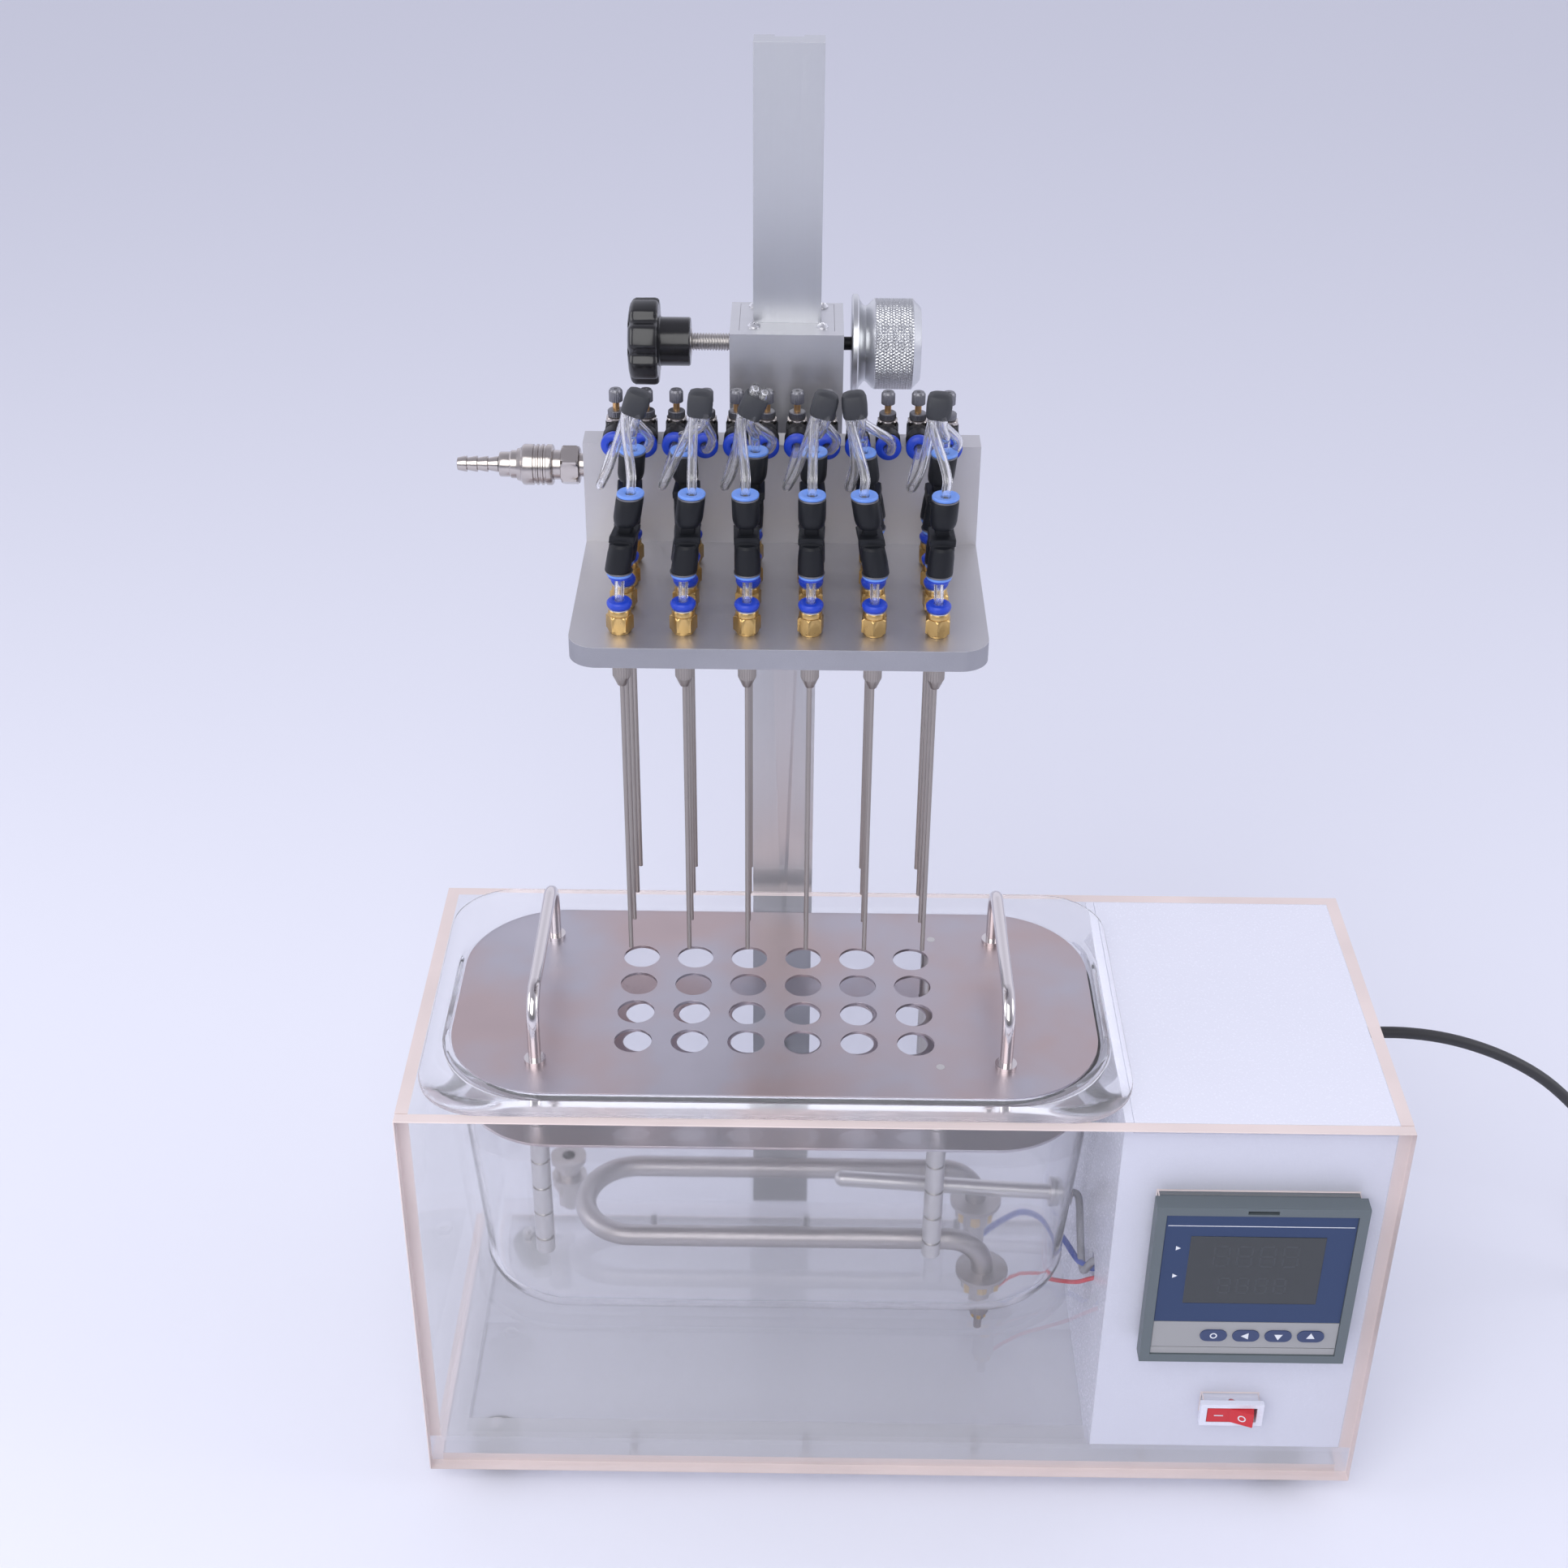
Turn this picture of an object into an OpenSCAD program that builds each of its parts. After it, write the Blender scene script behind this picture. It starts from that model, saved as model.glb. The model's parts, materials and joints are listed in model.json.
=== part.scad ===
// Nitrogen sample evaporator: a heated water bath with a lift-out tube rack, a panel controller, and a
// twelve-valve gas head that rides on a column by rack and pinion. Millimetres, x right, y back, z up.
// The modules work in the case's own frame, whose origin is the middle of the underside of its base;
// place() moves everything so that the feet stand on z = 0 and the object is centred in x and y.

/* [Case] */
// width of the control box, from the divider's bath side to the outside of the case
control_w = 128.5; // [124:0.5:160]
// outer depth of the clear case
case_d = 184; // [180:1:200]
// height of the case walls above the underside of the base
case_h = 222.4; // [215:0.1:235]
// thickness of the clear walls
wall_t = 6; // [5:0.5:8]
// thickness of the base panel
base_t = 5; // [4:0.5:8]
// side of the square rails bonded along the walls
rail_s = 12; // [10:1:14]
// thickness of the white top panel
top_t = 6; // [4:0.5:8]
// thickness of the white sheet behind the clear front
liner_t = 3; // [2:0.5:4]
// thickness of the divider between bath and control box
divider_t = 4; // [3:0.5:5]
// hole in the divider for the leads
lead_hole_d = 14; // [10:1:18]
// height of the lead hole above the base
lead_hole_z = 95; // [80:1:130]
// place of the lead hole across the divider
lead_hole_y = -43; // [-60:1:-30]

/* [Feet] */
// height of the rubber feet
foot_h = 14; // [10:1:18]
// diameter of a foot at the base
foot_d = 25; // [20:1:28]
// diameter of a foot at the bench
foot_low_d = 21; // [16:1:24]
// half the distance between feet across the width
foot_x = 196; // [150:1:200]
// half the distance between feet across the depth
foot_y = 69; // [50:1:69]

/* [Bath pan] */
// how far the rim lies over the control box
rim_over = 6.4; // [4.9:0.1:6.4]
// gap between the rim and the case's left end
rim_gap = 6.9; // [6.5:0.1:15]
// length of the rim
rim_w = 325; // [320:1:326]
// depth of the rim
rim_d = 176; // [174:1:182]
// corner radius of the rim
rim_r = 30; // [20:1:40]
// thickness of the rim
rim_t = 3; // [2:0.5:4]
// length of the opening that takes the rack
seat_w = 305; // [304:0.5:306]
// depth of the opening that takes the rack
seat_d = 147.5; // [146:0.5:149]
// corner radius of that opening
seat_r = 49; // [48:0.5:52]
// width of the ledge that the rack lies on
ledge_w = 3; // [2:0.5:3.5]
// drop from the rim's top to the ledge
ledge_drop = 3.4; // [3:0.1:5]
// wall of the pan
pan_t = 3; // [2:0.25:3.5]
// taper of the pan's walls
pan_taper = 4; // [2:0.5:5]
// height of the pan's inner floor
pan_floor = 75; // [70:1:90]
// radius between the pan's walls and floor, inside
pan_fillet = 20; // [12:1:24]

/* [Tube rack] */
// how far the rack lies left of the pan's middle
rack_left = 0.8; // [-1:0.1:1]
// length of the upper plate
plate_w = 302; // [298:0.5:302]
// depth of the upper plate
plate_d = 144; // [140:0.5:144]
// corner radius of the upper plate
plate_r = 47; // [46.5:0.5:50]
// thickness of both plates
plate_t = 1.5; // [1:0.25:2.5]
// length of the lower shelf
shelf_w = 290; // [280:0.5:290]
// depth of the lower shelf
shelf_d = 133; // [125:0.5:133]
// corner radius of the lower shelf
shelf_r = 42; // [40:0.5:46]
// top of the lower shelf
shelf_z = 189; // [170:1:195]
// diameter of the tube holes
tube_hole_d = 17.5; // [14:0.5:18]
// spacing of the needles and tube holes along x
pitch_x = 26.3; // [26:0.05:26.6]
// spacing of the needles and tube holes along y
pitch_y = 22.1; // [21.8:0.05:22.4]
// diameter of the grooved rods
rod_d = 9; // [7:0.5:9]
// lower end of the rods
rod_end_z = 110; // [100:1:140]
// spacing of the grooves on a rod
groove_step = 16; // [12:1:20]
// place of the left pair of rods and the left handle
rod_left_x = -168; // [-172:1:-160]
// place of the right pair of rods
rod_right_x = 18; // [16:1:24]
// half the distance between the rods of a pair
rod_y = 50; // [49:0.5:53]
// place of the right handle
handle_right_x = 48; // [40:1:56]
// half the distance between a handle's feet
handle_y = 49; // [47:0.5:53]
// top of the handles above the upper plate
handle_h = 36.5; // [32:0.5:42]
// thickness of the handle bar
handle_d = 6; // [5:0.5:7]
// radius of the handle's bends at the middle of the bar
handle_bend = 14; // [10:1:20]

/* [Heater and probe] */
// diameter of the heater tube
heater_d = 10.5; // [8:0.5:12]
// half the distance between the heater's legs
heater_y = 25.6; // [20:0.2:28]
// height of the heater's middle line
heater_z = 96; // [92:1:110]
// left end of the heater's straight legs
heater_left = -128; // [-140:1:-110]
// place of the heater's flanges
heater_right = 46; // [40:1:50]
// bend radius where the legs turn down
heater_bend = 18; // [16:1:20]
// diameter of the heater's flanges
flange_d = 26; // [22:1:30]
// diameter of the probe's sheath
probe_d = 8; // [6:0.5:8]
// length of the sheath inside the bath
probe_l = 112; // [80:1:130]
// height of the probe's middle line at the pan's wall
probe_z = 104.5; // [100:0.5:115]
// drain fitting's place along x
drain_x = -167; // [-170:1:-150]
// drain fitting's place along y
drain_y = 46; // [30:1:48]

/* [Controller] */
// middle of the meter from the case's right end
meter_in = 64.4; // [57:0.1:70]
// middle of the meter in z
meter_z = 136.8; // [130:0.1:145]
// side of the meter's square bezel
bezel_w = 96; // [90:1:100]
// how far the bezel stands out from the case
bezel_out = 8; // [5:0.5:10]
// side of the meter's body behind the panel
meter_body_w = 91.4; // [85:0.2:91.6]
// clearance between the meter's body and the panel's cut-out
cutout_clear = 0.3; // [0.2:0.1:0.6]
// depth of the meter's body behind the bezel
meter_depth = 62; // [40:1:90]
// width of an oval key
key_w = 12.6; // [10:0.1:13]
// height of an oval key
key_h = 7; // [5:0.1:8]
// spacing of the keys
key_pitch = 15.1; // [14.5:0.1:16]
// height of the row of keys
key_z = 105.9; // [104:0.1:108]
// how far a key stands out of the meter's face
key_out = 0.9; // [0.6:0.1:1.2]
// travel of a key
key_travel = 0.5; // [0.3:0.1:0.5]
// clearance round a key
key_clear = 0.2; // [0.15:0.05:0.3]
// middle of the switch from the case's right end
switch_in = 63.4; // [55:0.1:70]
// middle of the switch in z
switch_z = 48.1; // [45:0.1:55]
// width of the switch frame
frame_w = 30.4; // [30:0.2:34]
// height of the switch frame
frame_h = 14; // [13.5:0.1:18]
// how far the switch frame stands out
frame_out = 3; // [2:0.25:4]
// width of the rocker
rocker_w = 23.4; // [20:0.2:24]
// height of the rocker
rocker_h = 8.8; // [8:0.1:10]
// clearance round the rocker
rocker_clear = 0.3; // [0.25:0.05:0.5]
// angle between the rocker's two positions
rocker_tilt = 20; // [16:1:22]

/* [Column and slide block] */
// middle of the column in x
col_x = -56; // [-58:0.5:-54]
// width of the column
col_w = 30; // [26:0.5:32]
// thickness of the column
col_t = 12.5; // [12:0.5:14]
// top of the column
col_top = 647.6; // [600:0.5:700]
// bottom of the column
col_bottom = 12; // [8:1:40]
// width of the groove in the column's back
col_groove_w = 12.4; // [11:0.2:14]
// depth of that groove
col_groove_d = 3; // [2:0.25:4]
// width of the toothed rack
rack_w = 5.6; // [5:0.2:8]
// module of the rack and the pinion
tooth_m = 0.8; // [0.8:0.05:0.9]
// number of teeth on the pinion
pinion_z = 12; // [12:1:12]
// backlash between rack and pinion
backlash = 0.12; // [0.08:0.02:0.2]
// left side of the slide block
block_x0 = -81; // [-84:0.5:-80]
// right side of the slide block
block_x1 = -31; // [-32:0.5:-28]
// front face of the slide block
block_y0 = 77; // [76:0.5:80]
// back face of the slide block
block_y1 = 118; // [117.5:0.5:122]
// bottom of the slide block
block_z0 = 440; // [435:1:460]
// top of the slide block
block_z1 = 526.5; // [524:0.5:530]
// thickness of the guide plates
guide_t = 3; // [2:0.5:4]
// clearance between column and guide plates
guide_fit = 0.05; // [0.02:0.01:0.1]
// clearance between column and the block's channel
channel_clear = 0.6; // [0.4:0.1:1]
// height of the lift shaft
pinion_h = 510.4; // [508:0.1:514]
// height of the clamp screw
clamp_z = 515; // [512:0.5:517]
// diameter of the clamp knob's head
clamp_d = 38.4; // [32:0.2:42]
// width of the clamp knob's head
clamp_head_w = 13; // [10:0.5:16]
// diameter of the clamp knob's hub
clamp_hub_d = 21.5; // [18:0.5:24]
// diameter of the clamp screw
clamp_screw_d = 8; // [6:0.5:8]
// diameter of the lift knob's flange
lift_flange_d = 44; // [40:0.5:48]
// diameter of the lift knob's knurled drum
lift_drum_d = 40.4; // [36:0.2:44]
// right end of the lift knob
lift_end_x = 4; // [0:0.5:8]
// diameter of the lift shaft
shaft_d = 6; // [5:0.5:7]
// running clearance of shafts and screws in their bores
run_fit = 0.06; // [0.04:0.01:0.1]

/* [Gas head] */
// left end of the needle plate and the manifold
head_x0 = -144.6; // [-146:0.2:-143]
// right end of the needle plate and the manifold
head_x1 = 29.4; // [28:0.2:31]
// front edge of the needle plate
np_y0 = -48.4; // [-52:0.2:-46]
// underside of the needle plate
np_z0 = 429; // [425:1:432]
// thickness of the needle plate
np_t = 9.3; // [8:0.1:10]
// front corner radius of the needle plate
np_r = 12; // [8:1:14]
// front face of the manifold
mf_y0 = 52.4; // [51.6:0.2:53]
// thickness of the manifold
mf_t = 13.5; // [13:0.1:14]
// height of the manifold
mf_h = 47; // [44:0.5:50]
// height of the gas gallery above the needle plate
gallery_up = 33.7; // [30:0.1:36]
// diameter of the gas gallery
gallery_d = 8; // [6:0.5:8]
// outer diameter of the clear tubes
tube_d = 4; // [3.6:0.1:4.2]
// length of a needle below its hub
needle_l = 143.6; // [120:1:146]
// diameter of a needle
needle_d = 2; // [1.5:0.1:2.4]
// distance across the flats of the brass fittings
fit_af = 10; // [9:0.1:10.5]
// outer diameter of the release collars
collar_d = 11.3; // [10.5:0.1:11.4]
// half the distance between a union's two outlets
union_half = 5.5; // [5.5:0.05:5.8]
// diameter of a union's inlet end
union_d = 11.4; // [11:0.1:12]
// diameter of a valve's outlet end
outlet_d = 10.8; // [10:0.1:11.2]
// distance across the flats of the valves' metal collars
valve_af = 8.5; // [8:0.1:9]
// diameter of the lock nuts
lock_d = 7.5; // [7:0.1:8]
// diameter of the adjusting screws' heads
screw_head_d = 6; // [5.5:0.1:6.5]
// gap between a lock nut and the head of its screw
screw_gap = 1.1; // [0.8:0.1:2]

/* [Gas inlet] */
// distance across the flats of the coupler's hexagon
hex_af = 16; // [14:0.5:17]
// diameter of the coupler's sliding sleeve
sleeve_d = 18; // [16:0.5:20]
// length of the sliding sleeve
sleeve_l = 16; // [12:0.5:18]
// travel of the sleeve
sleeve_travel = 3; // [2:0.5:3]
// diameter of the hose tail
barb_d = 7; // [6:0.25:8]
// length of the barbed stretch
barb_l = 18.6; // [16:0.2:22]
// number of barbs
barbs = 4; // [3:1:5]

/* [Hidden] */
$fn = 48;
eps = 0.01;
cut = 1;

// case: the bath part keeps its place in x, and the control box follows on its right
pan_x = -57.6;
case_x0 = pan_x - rim_w / 2 - rim_gap;
divider_x = pan_x + rim_w / 2 - rim_over;
case_x1 = divider_x + control_w;
in_x0 = case_x0 + wall_t;
in_x1 = case_x1 - wall_t;
in_y = case_d / 2 - wall_t;
rail_top = base_t + rail_s;
screw_d = 3.4;
rail_screws = [-126, -41, 42.5, 125];
foot_bolt_d = 4;
foot_recess = 5;
column_screws = [40, case_h / 2 + 8.8, case_h - 22.4];

// pan: the corners' middle points stay put while the corner radius shrinks with the taper
ledge_z = case_h + rim_t - ledge_drop;
tub_w = seat_w - 2 * ledge_w;
tub_d = seat_d - 2 * ledge_w;
tub_r = seat_r - ledge_w + 1;
corner_x = tub_w / 2 - tub_r;
corner_y = tub_d / 2 - tub_r;
function tub_radius(z) = tub_r - (ledge_z - z) * tan(pan_taper);
function tub_x(z) = pan_x + corner_x + tub_radius(z);

// rack
rack_x = pan_x - rack_left;
holes_x = [-5, -3, -1, 1, 3, 5] * pitch_x / 2;
holes_y = [-3, -1, 1, 3] * pitch_y / 2;
rods = [for (x = [rod_left_x, rod_right_x], s = [-1, 1]) [x, s * rod_y]];
plate_z = ledge_z;

// heater's ends and drain under the pan
heater_end = pan_floor - 27;
terminal_l = 12;
terminal_z = heater_end - terminal_l;
drain_z = pan_floor + 7;

// meter and switch
meter_x = case_x1 - meter_in;
switch_x = case_x1 - switch_in;
meter_y = -(case_d / 2 + bezel_out);
face_y = meter_y + 1;
key_deep = 4;
switch_y = -case_d / 2 - frame_out;
rocker_pivot_y = switch_y + 4;
pivot_d = 3;
pivot_l = 0.8;

// column, rack and pinion
col_y0 = case_d / 2;
col_y1 = col_y0 + col_t;
tooth_p = PI * tooth_m;
pinion_r = tooth_m * pinion_z / 2;
rack_line = col_y1 + 0.8;
pinion_y = rack_line + pinion_r;
rack_bottom = 345;
rack_top = 640;

// the object's own frame: centred on the case in x, and between the meter's bezel and the back of
// the lift knob in y
x_origin = -(case_x0 + case_x1) / 2;
y_back = max(block_y1, pinion_y + lift_flange_d / 2);
y_origin = -(meter_y + y_back) / 2;
module place() translate([x_origin, y_origin, foot_h]) children();

// gas head
head_x = pan_x;
mf_y1 = mf_y0 + mf_t;
mf_mid = mf_y0 + mf_t / 2;
np_top = np_z0 + np_t;
mf_top = np_top + mf_h;
gallery_z = np_top + gallery_up;
valve_half = pitch_x / 4;
valve_x = [for (c = holes_x, s = [-1, 1]) head_x + c + s * valve_half];
valve_body_h = 8;
outlet_z = mf_top + 4.2;
nut_z = mf_top + valve_body_h;
lock_z = nut_z + 2.2;
lock_h = 5.7;
screw_z = lock_z + lock_h + screw_gap;
union_z = mf_top - 21.8;
union_top = union_z + 31;
union_leg = 12.5;
union_neck = union_top - 17.5;
union_cap = union_top - 10.5;
stem_d = 3;

// mains lead: route points from the case's right end, chosen by hand
cord_d = 6;
bench_z = -foot_h;
lead_route = [[0, 55, 165], [16, 55, 165], [35, 55, 165], [54, 55, 162.5], [73, 55, 157],
    [93, 55, 148], [113, 55, 135], [132, 55, 117], [148, 56, 97], [160, 57, 74], [168, 58, 50],
    [175, 59, 26], [185, 60, 6], [200, 60, -6], [217, 60, -10.5], [227, 60, -10.5]];
lead_path = [for (q = lead_route) [case_x1 + q.x, q.y, q.z]];
coil_start = lead_path[len(lead_path) - 1];
coil_outer = 41.5;
coil_pitch = 6.6;
coil_layer_turns = 2.375;
coil_rings = 24;
plug_gap = 26;

// ---------- shared forms ----------

module rounded(w, d, r) {
    square([w - 2 * r, d], center = true);
    square([w, d - 2 * r], center = true);
    for (x = [-1, 1], y = [-1, 1])
        translate([x * (w / 2 - r), y * (d / 2 - r)]) circle(r, $fn = 64);
}

module box(x0, x1, y0, y1, z0, z1)
    translate([x0, y0, z0]) cube([x1 - x0, y1 - y0, z1 - z0]);

// hexagonal prism, af across the flats
module hex(af, h) cylinder(h = h, d = af / cos(30), $fn = 6);

function unit(v) = v / norm(v);
function along(p, i) = unit(p[min(i + 1, len(p) - 1)] - p[max(i - 1, 0)]);

// smooth curve through the points of p, with k steps a span
function span(a, b, c, d, t) = 0.5 * (2 * b + (c - a) * t + (2 * a - 5 * b + 4 * c - d) * t * t
    + (3 * b - a - 3 * c + d) * t * t * t);
function smooth(p, k) = concat([for (i = [0:len(p) - 2], j = [0:k - 1])
    span(p[max(i - 1, 0)], p[i], p[i + 1], p[min(i + 2, len(p) - 1)], j / k)], [p[len(p) - 1]]);

// round tube of radius r along the points of p; ref is a direction that the tube never takes
module sweep(p, r, sides, ref) {
    n = len(p);
    ring = [for (i = [0:n - 1]) let (t = along(p, i), u = unit(cross(ref, t)), v = cross(t, u))
        for (k = [0:sides - 1]) p[i] + r * (cos(360 * k / sides) * u + sin(360 * k / sides) * v)];
    skin = [for (i = [0:n - 2], k = [0:sides - 1]) let (a = i * sides + k, b = i * sides + (k + 1) % sides)
        each [[a, b + sides, b], [a, a + sides, b + sides]]];
    lids = [for (k = [1:sides - 2]) each [[0, k, k + 1],
        [(n - 1) * sides, (n - 1) * sides + k + 1, (n - 1) * sides + k]]];
    polyhedron(ring, concat(skin, lids), convexity = 6);
}

// ---------- case ----------

module panel_cutouts(y0, y1) {
    m = meter_body_w / 2 + cutout_clear;
    box(meter_x - m, meter_x + m, y0, y1, meter_z - m, meter_z + m);
    box(switch_x - frame_w / 2 + 1.5, switch_x + frame_w / 2 - 1.5, y0, y1,
        switch_z - frame_h / 2 + 1, switch_z + frame_h / 2 - 1);
}

module front_panel() color([0.86, 0.88, 0.96, 0.4]) place() difference() {
    box(case_x0, case_x1, -case_d / 2, -in_y, 0, case_h);
    panel_cutouts(-case_d / 2 - cut, -in_y + cut);
}

module rail_screw_spots() for (x = rail_screws, y = [-1, 1])
    translate([x, y * (in_y - rail_s / 2), 0]) children();

module column_screw_spots() for (z = column_screws)
    translate([col_x, in_y, z]) rotate([-90, 0, 0]) children();

module case_walls() color([0.86, 0.88, 0.96, 0.4]) place() difference() {
    union() {
        for (x = [case_x0, in_x1]) box(x, x + wall_t, -in_y, case_d / 2, 0, case_h);
        box(in_x0, in_x1, in_y, case_d / 2, 0, case_h);
        for (y = [-in_y, in_y - rail_s]) box(in_x0, in_x1, y, y + rail_s, base_t, rail_top);
        for (x = [in_x0, in_x1 - rail_s]) box(x, x + rail_s, -in_y, in_y, base_t, rail_top);
    }
    rail_screw_spots() translate([0, 0, base_t - eps]) cylinder(h = 9, d = screw_d);
    column_screw_spots() translate([0, 0, -cut]) cylinder(h = wall_t + 2 * cut, d = 4.4);
    translate([in_x1, lead_path[0].y, lead_path[0].z]) rotate([0, 90, 0])
        translate([0, 0, -cut]) cylinder(h = wall_t + 2 * cut, d = 12.4);
}

module foot_spots() for (x = [-1, 1], y = [-1, 1]) translate([x * foot_x, y * foot_y, 0]) children();

module base_panel() color([0.86, 0.88, 0.96, 0.4]) place() difference() {
    box(in_x0, in_x1, -in_y, in_y, 0, base_t);
    rail_screw_spots() translate([0, 0, -cut]) cylinder(h = base_t + 2 * cut, d = screw_d + 0.4);
    foot_spots() translate([0, 0, -cut]) cylinder(h = base_t + 2 * cut, d = foot_bolt_d + 0.4);
}

module top_panel() color([0.93, 0.93, 0.97]) place()
    box(divider_x + divider_t, in_x1, -in_y, in_y, case_h - top_t, case_h);

module control_liner() color([0.95, 0.95, 0.98]) place() difference() {
    union() {
        box(divider_x, in_x1, -in_y, -in_y + liner_t, rail_top, case_h - top_t);
        box(divider_x, divider_x + divider_t, -in_y, in_y, rail_top, case_h);
        box(divider_x, divider_x + divider_t, -in_y + rail_s, in_y - rail_s, base_t, rail_top + eps);
    }
    panel_cutouts(-in_y - cut, -in_y + liner_t + cut);
    translate([divider_x - cut, lead_hole_y, lead_hole_z]) rotate([0, 90, 0])
        cylinder(h = divider_t + 2 * cut, d = lead_hole_d);
}

// pan-head screw pointing up, head below z = 0
module screw_up(d, l, head_d, head_h) {
    translate([0, 0, -head_h / 2]) cylinder(h = l + head_h / 2, d = d);
    translate([0, 0, -head_h]) cylinder(h = head_h, d1 = head_d * 0.8, d2 = head_d);
}

module case_screws() color([0.75, 0.75, 0.78]) place() {
    rail_screw_spots() screw_up(screw_d - 0.2, 13, 7, 2.4);
    foot_spots() {
        translate([0, 0, -foot_h + foot_recess]) screw_up(foot_bolt_d, foot_h + base_t, 8, 2.6);
        translate([0, 0, base_t]) difference() {
            hex(7, 3.2);
            translate([0, 0, -cut]) cylinder(h = 6, d = foot_bolt_d - 0.2);
        }
    }
    column_screw_spots() screw_up(4, wall_t + 8, 8, 2.6);
}

module feet() color([0.08, 0.08, 0.09]) place() foot_spots() difference() {
    translate([0, 0, -foot_h]) cylinder(h = foot_h, d1 = foot_low_d, d2 = foot_d);
    translate([0, 0, -foot_h - cut]) cylinder(h = foot_recess + cut, d = 11);
    translate([0, 0, -foot_h]) cylinder(h = foot_h + cut, d = foot_bolt_d + 0.2);
}

// ---------- bath ----------

// profile of the tub from the line of its corner centres outward: tapered wall, round foot, flat floor
module tub_profile(top, floor_z, fillet, grow) {
    zf = floor_z + fillet;
    rf = tub_radius(zf) + grow;
    polygon([[0, zf], [rf, zf], [tub_radius(top) + grow, top], [0, top]]);
    square_z(0, rf - fillet, floor_z, zf + eps);
    translate([rf - fillet, zf]) intersection() {
        circle(fillet, $fn = 96);
        translate([0, -fillet]) square([fillet, fillet]);
    }
}

module square_z(x0, x1, z0, z1) translate([x0, z0]) square([x1 - x0, z1 - z0]);

// the tub as a solid: four revolved corners, and the same profile drawn out between them
module tub(top, floor_z, fillet, grow) {
    for (x = [-1, 1], y = [-1, 1]) translate([x * corner_x, y * corner_y, 0])
        rotate_extrude($fn = 96) tub_profile(top, floor_z, fillet, grow);
    for (s = [0, 180]) rotate([0, 0, s]) {
        translate([corner_x, corner_y, 0]) rotate([90, 0, 0]) linear_extrude(2 * corner_y)
            tub_profile(top, floor_z, fillet, grow);
        translate([-corner_x, corner_y, 0]) rotate([90, 0, 90]) linear_extrude(2 * corner_x)
            tub_profile(top, floor_z, fillet, grow);
    }
    translate([-corner_x, -corner_y, floor_z]) cube([2 * corner_x, 2 * corner_y, top - floor_z]);
}

module bath_pan() color([0.9, 0.93, 0.97, 0.45]) place() difference() {
    translate([pan_x, 0, 0]) union() {
        translate([0, 0, case_h]) linear_extrude(rim_t) rounded(rim_w, rim_d, rim_r);
        translate([0, 0, ledge_z - pan_t]) linear_extrude(case_h - ledge_z + pan_t + eps)
            rounded(seat_w + 2 * pan_t - 1, seat_d + 2 * pan_t - 1, seat_r + pan_t - 0.5);
        tub(ledge_z - pan_t + eps, pan_floor - pan_t, pan_fillet + pan_t, pan_t);
    }
    translate([pan_x, 0, ledge_z]) linear_extrude(ledge_drop + cut) rounded(seat_w, seat_d, seat_r);
    translate([pan_x, 0, 0]) tub(ledge_z + eps, pan_floor, pan_fillet, 0);
    for (s = [-1, 1]) translate([heater_right, s * heater_y, pan_floor - pan_t - cut])
        cylinder(h = pan_t + 2 * cut, d = heater_d + 0.2);
    translate([drain_x, drain_y, pan_floor - pan_t - cut]) cylinder(h = 14, d = 12.2);
    probe_at(probe_z) translate([0, 0, -8]) cylinder(h = 16, d = probe_d + 0.2);
}

// quarter bend of a round bar in the x-z plane, from +x at the origin to -z
module quarter_down(r, d) translate([0, 0, -r]) rotate([90, 0, 0])
    rotate_extrude(angle = 90) translate([r, 0]) circle(d = d, $fn = 32);

module heater() color([0.62, 0.6, 0.58]) place() {
    for (s = [-1, 1]) {
        translate([heater_left, s * heater_y, heater_z]) rotate([0, 90, 0])
            cylinder(h = heater_right - heater_bend - heater_left, d = heater_d);
        translate([heater_right - heater_bend, s * heater_y, heater_z]) quarter_down(heater_bend, heater_d);
        translate([heater_right, s * heater_y, 0]) {
            translate([0, 0, heater_end]) cylinder(h = heater_z - heater_bend - heater_end, d = heater_d);
            translate([0, 0, pan_floor]) cylinder(h = 2, d = flange_d);
            translate([0, 0, pan_floor - pan_t - 1.5]) cylinder(h = 1.5, d = 20);
            translate([0, 0, pan_floor - pan_t - 8.5]) hex(17, 7);
            translate([0, 0, terminal_z]) cylinder(h = terminal_l, d = 4);
            translate([0, 0, heater_end - 4]) hex(7, 3);
        }
    }
    translate([heater_left, 0, heater_z]) rotate([0, 0, 90])
        rotate_extrude(angle = 180) translate([heater_y, 0]) circle(d = heater_d, $fn = 32);
}

// drain: a flange on the fillet inside, a washer and a nut outside, and a short outlet below
module drain_fitting() color([0.72, 0.6, 0.35]) place() translate([drain_x, drain_y, drain_z])
    difference() {
        union() {
            cylinder(h = 3, d = 18);
            translate([0, 0, -30]) cylinder(h = 31, d = 12);
            translate([0, 0, -13.5]) cylinder(h = 3, d = 18);
            translate([0, 0, -19]) hex(15, 5.5);
            translate([0, 0, -32]) cylinder(h = 6, d1 = 9, d2 = 12);
        }
        translate([0, 0, -28]) cylinder(h = 40, d = 7);
    }

// frame of the probe: origin on the pan's end wall, z outward and square to the tapered wall
module probe_at(z) translate([tub_x(z), 0, z]) rotate([0, 90 + pan_taper, 0]) children();

module temperature_probe() color([0.8, 0.78, 0.75]) place() probe_at(probe_z) {
    translate([0, 0, -probe_l + probe_d / 2]) cylinder(h = probe_l + 4, d = probe_d);
    translate([0, 0, -probe_l + probe_d / 2]) sphere(d = probe_d, $fn = 32);
    translate([0, 0, -2.5]) cylinder(h = 2.2, d = 15);
    translate([0, 0, pan_t + 0.3]) cylinder(h = 1.5, d = 15);
    translate([0, 0, pan_t + 1.8]) hex(12, 3);
}

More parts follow.
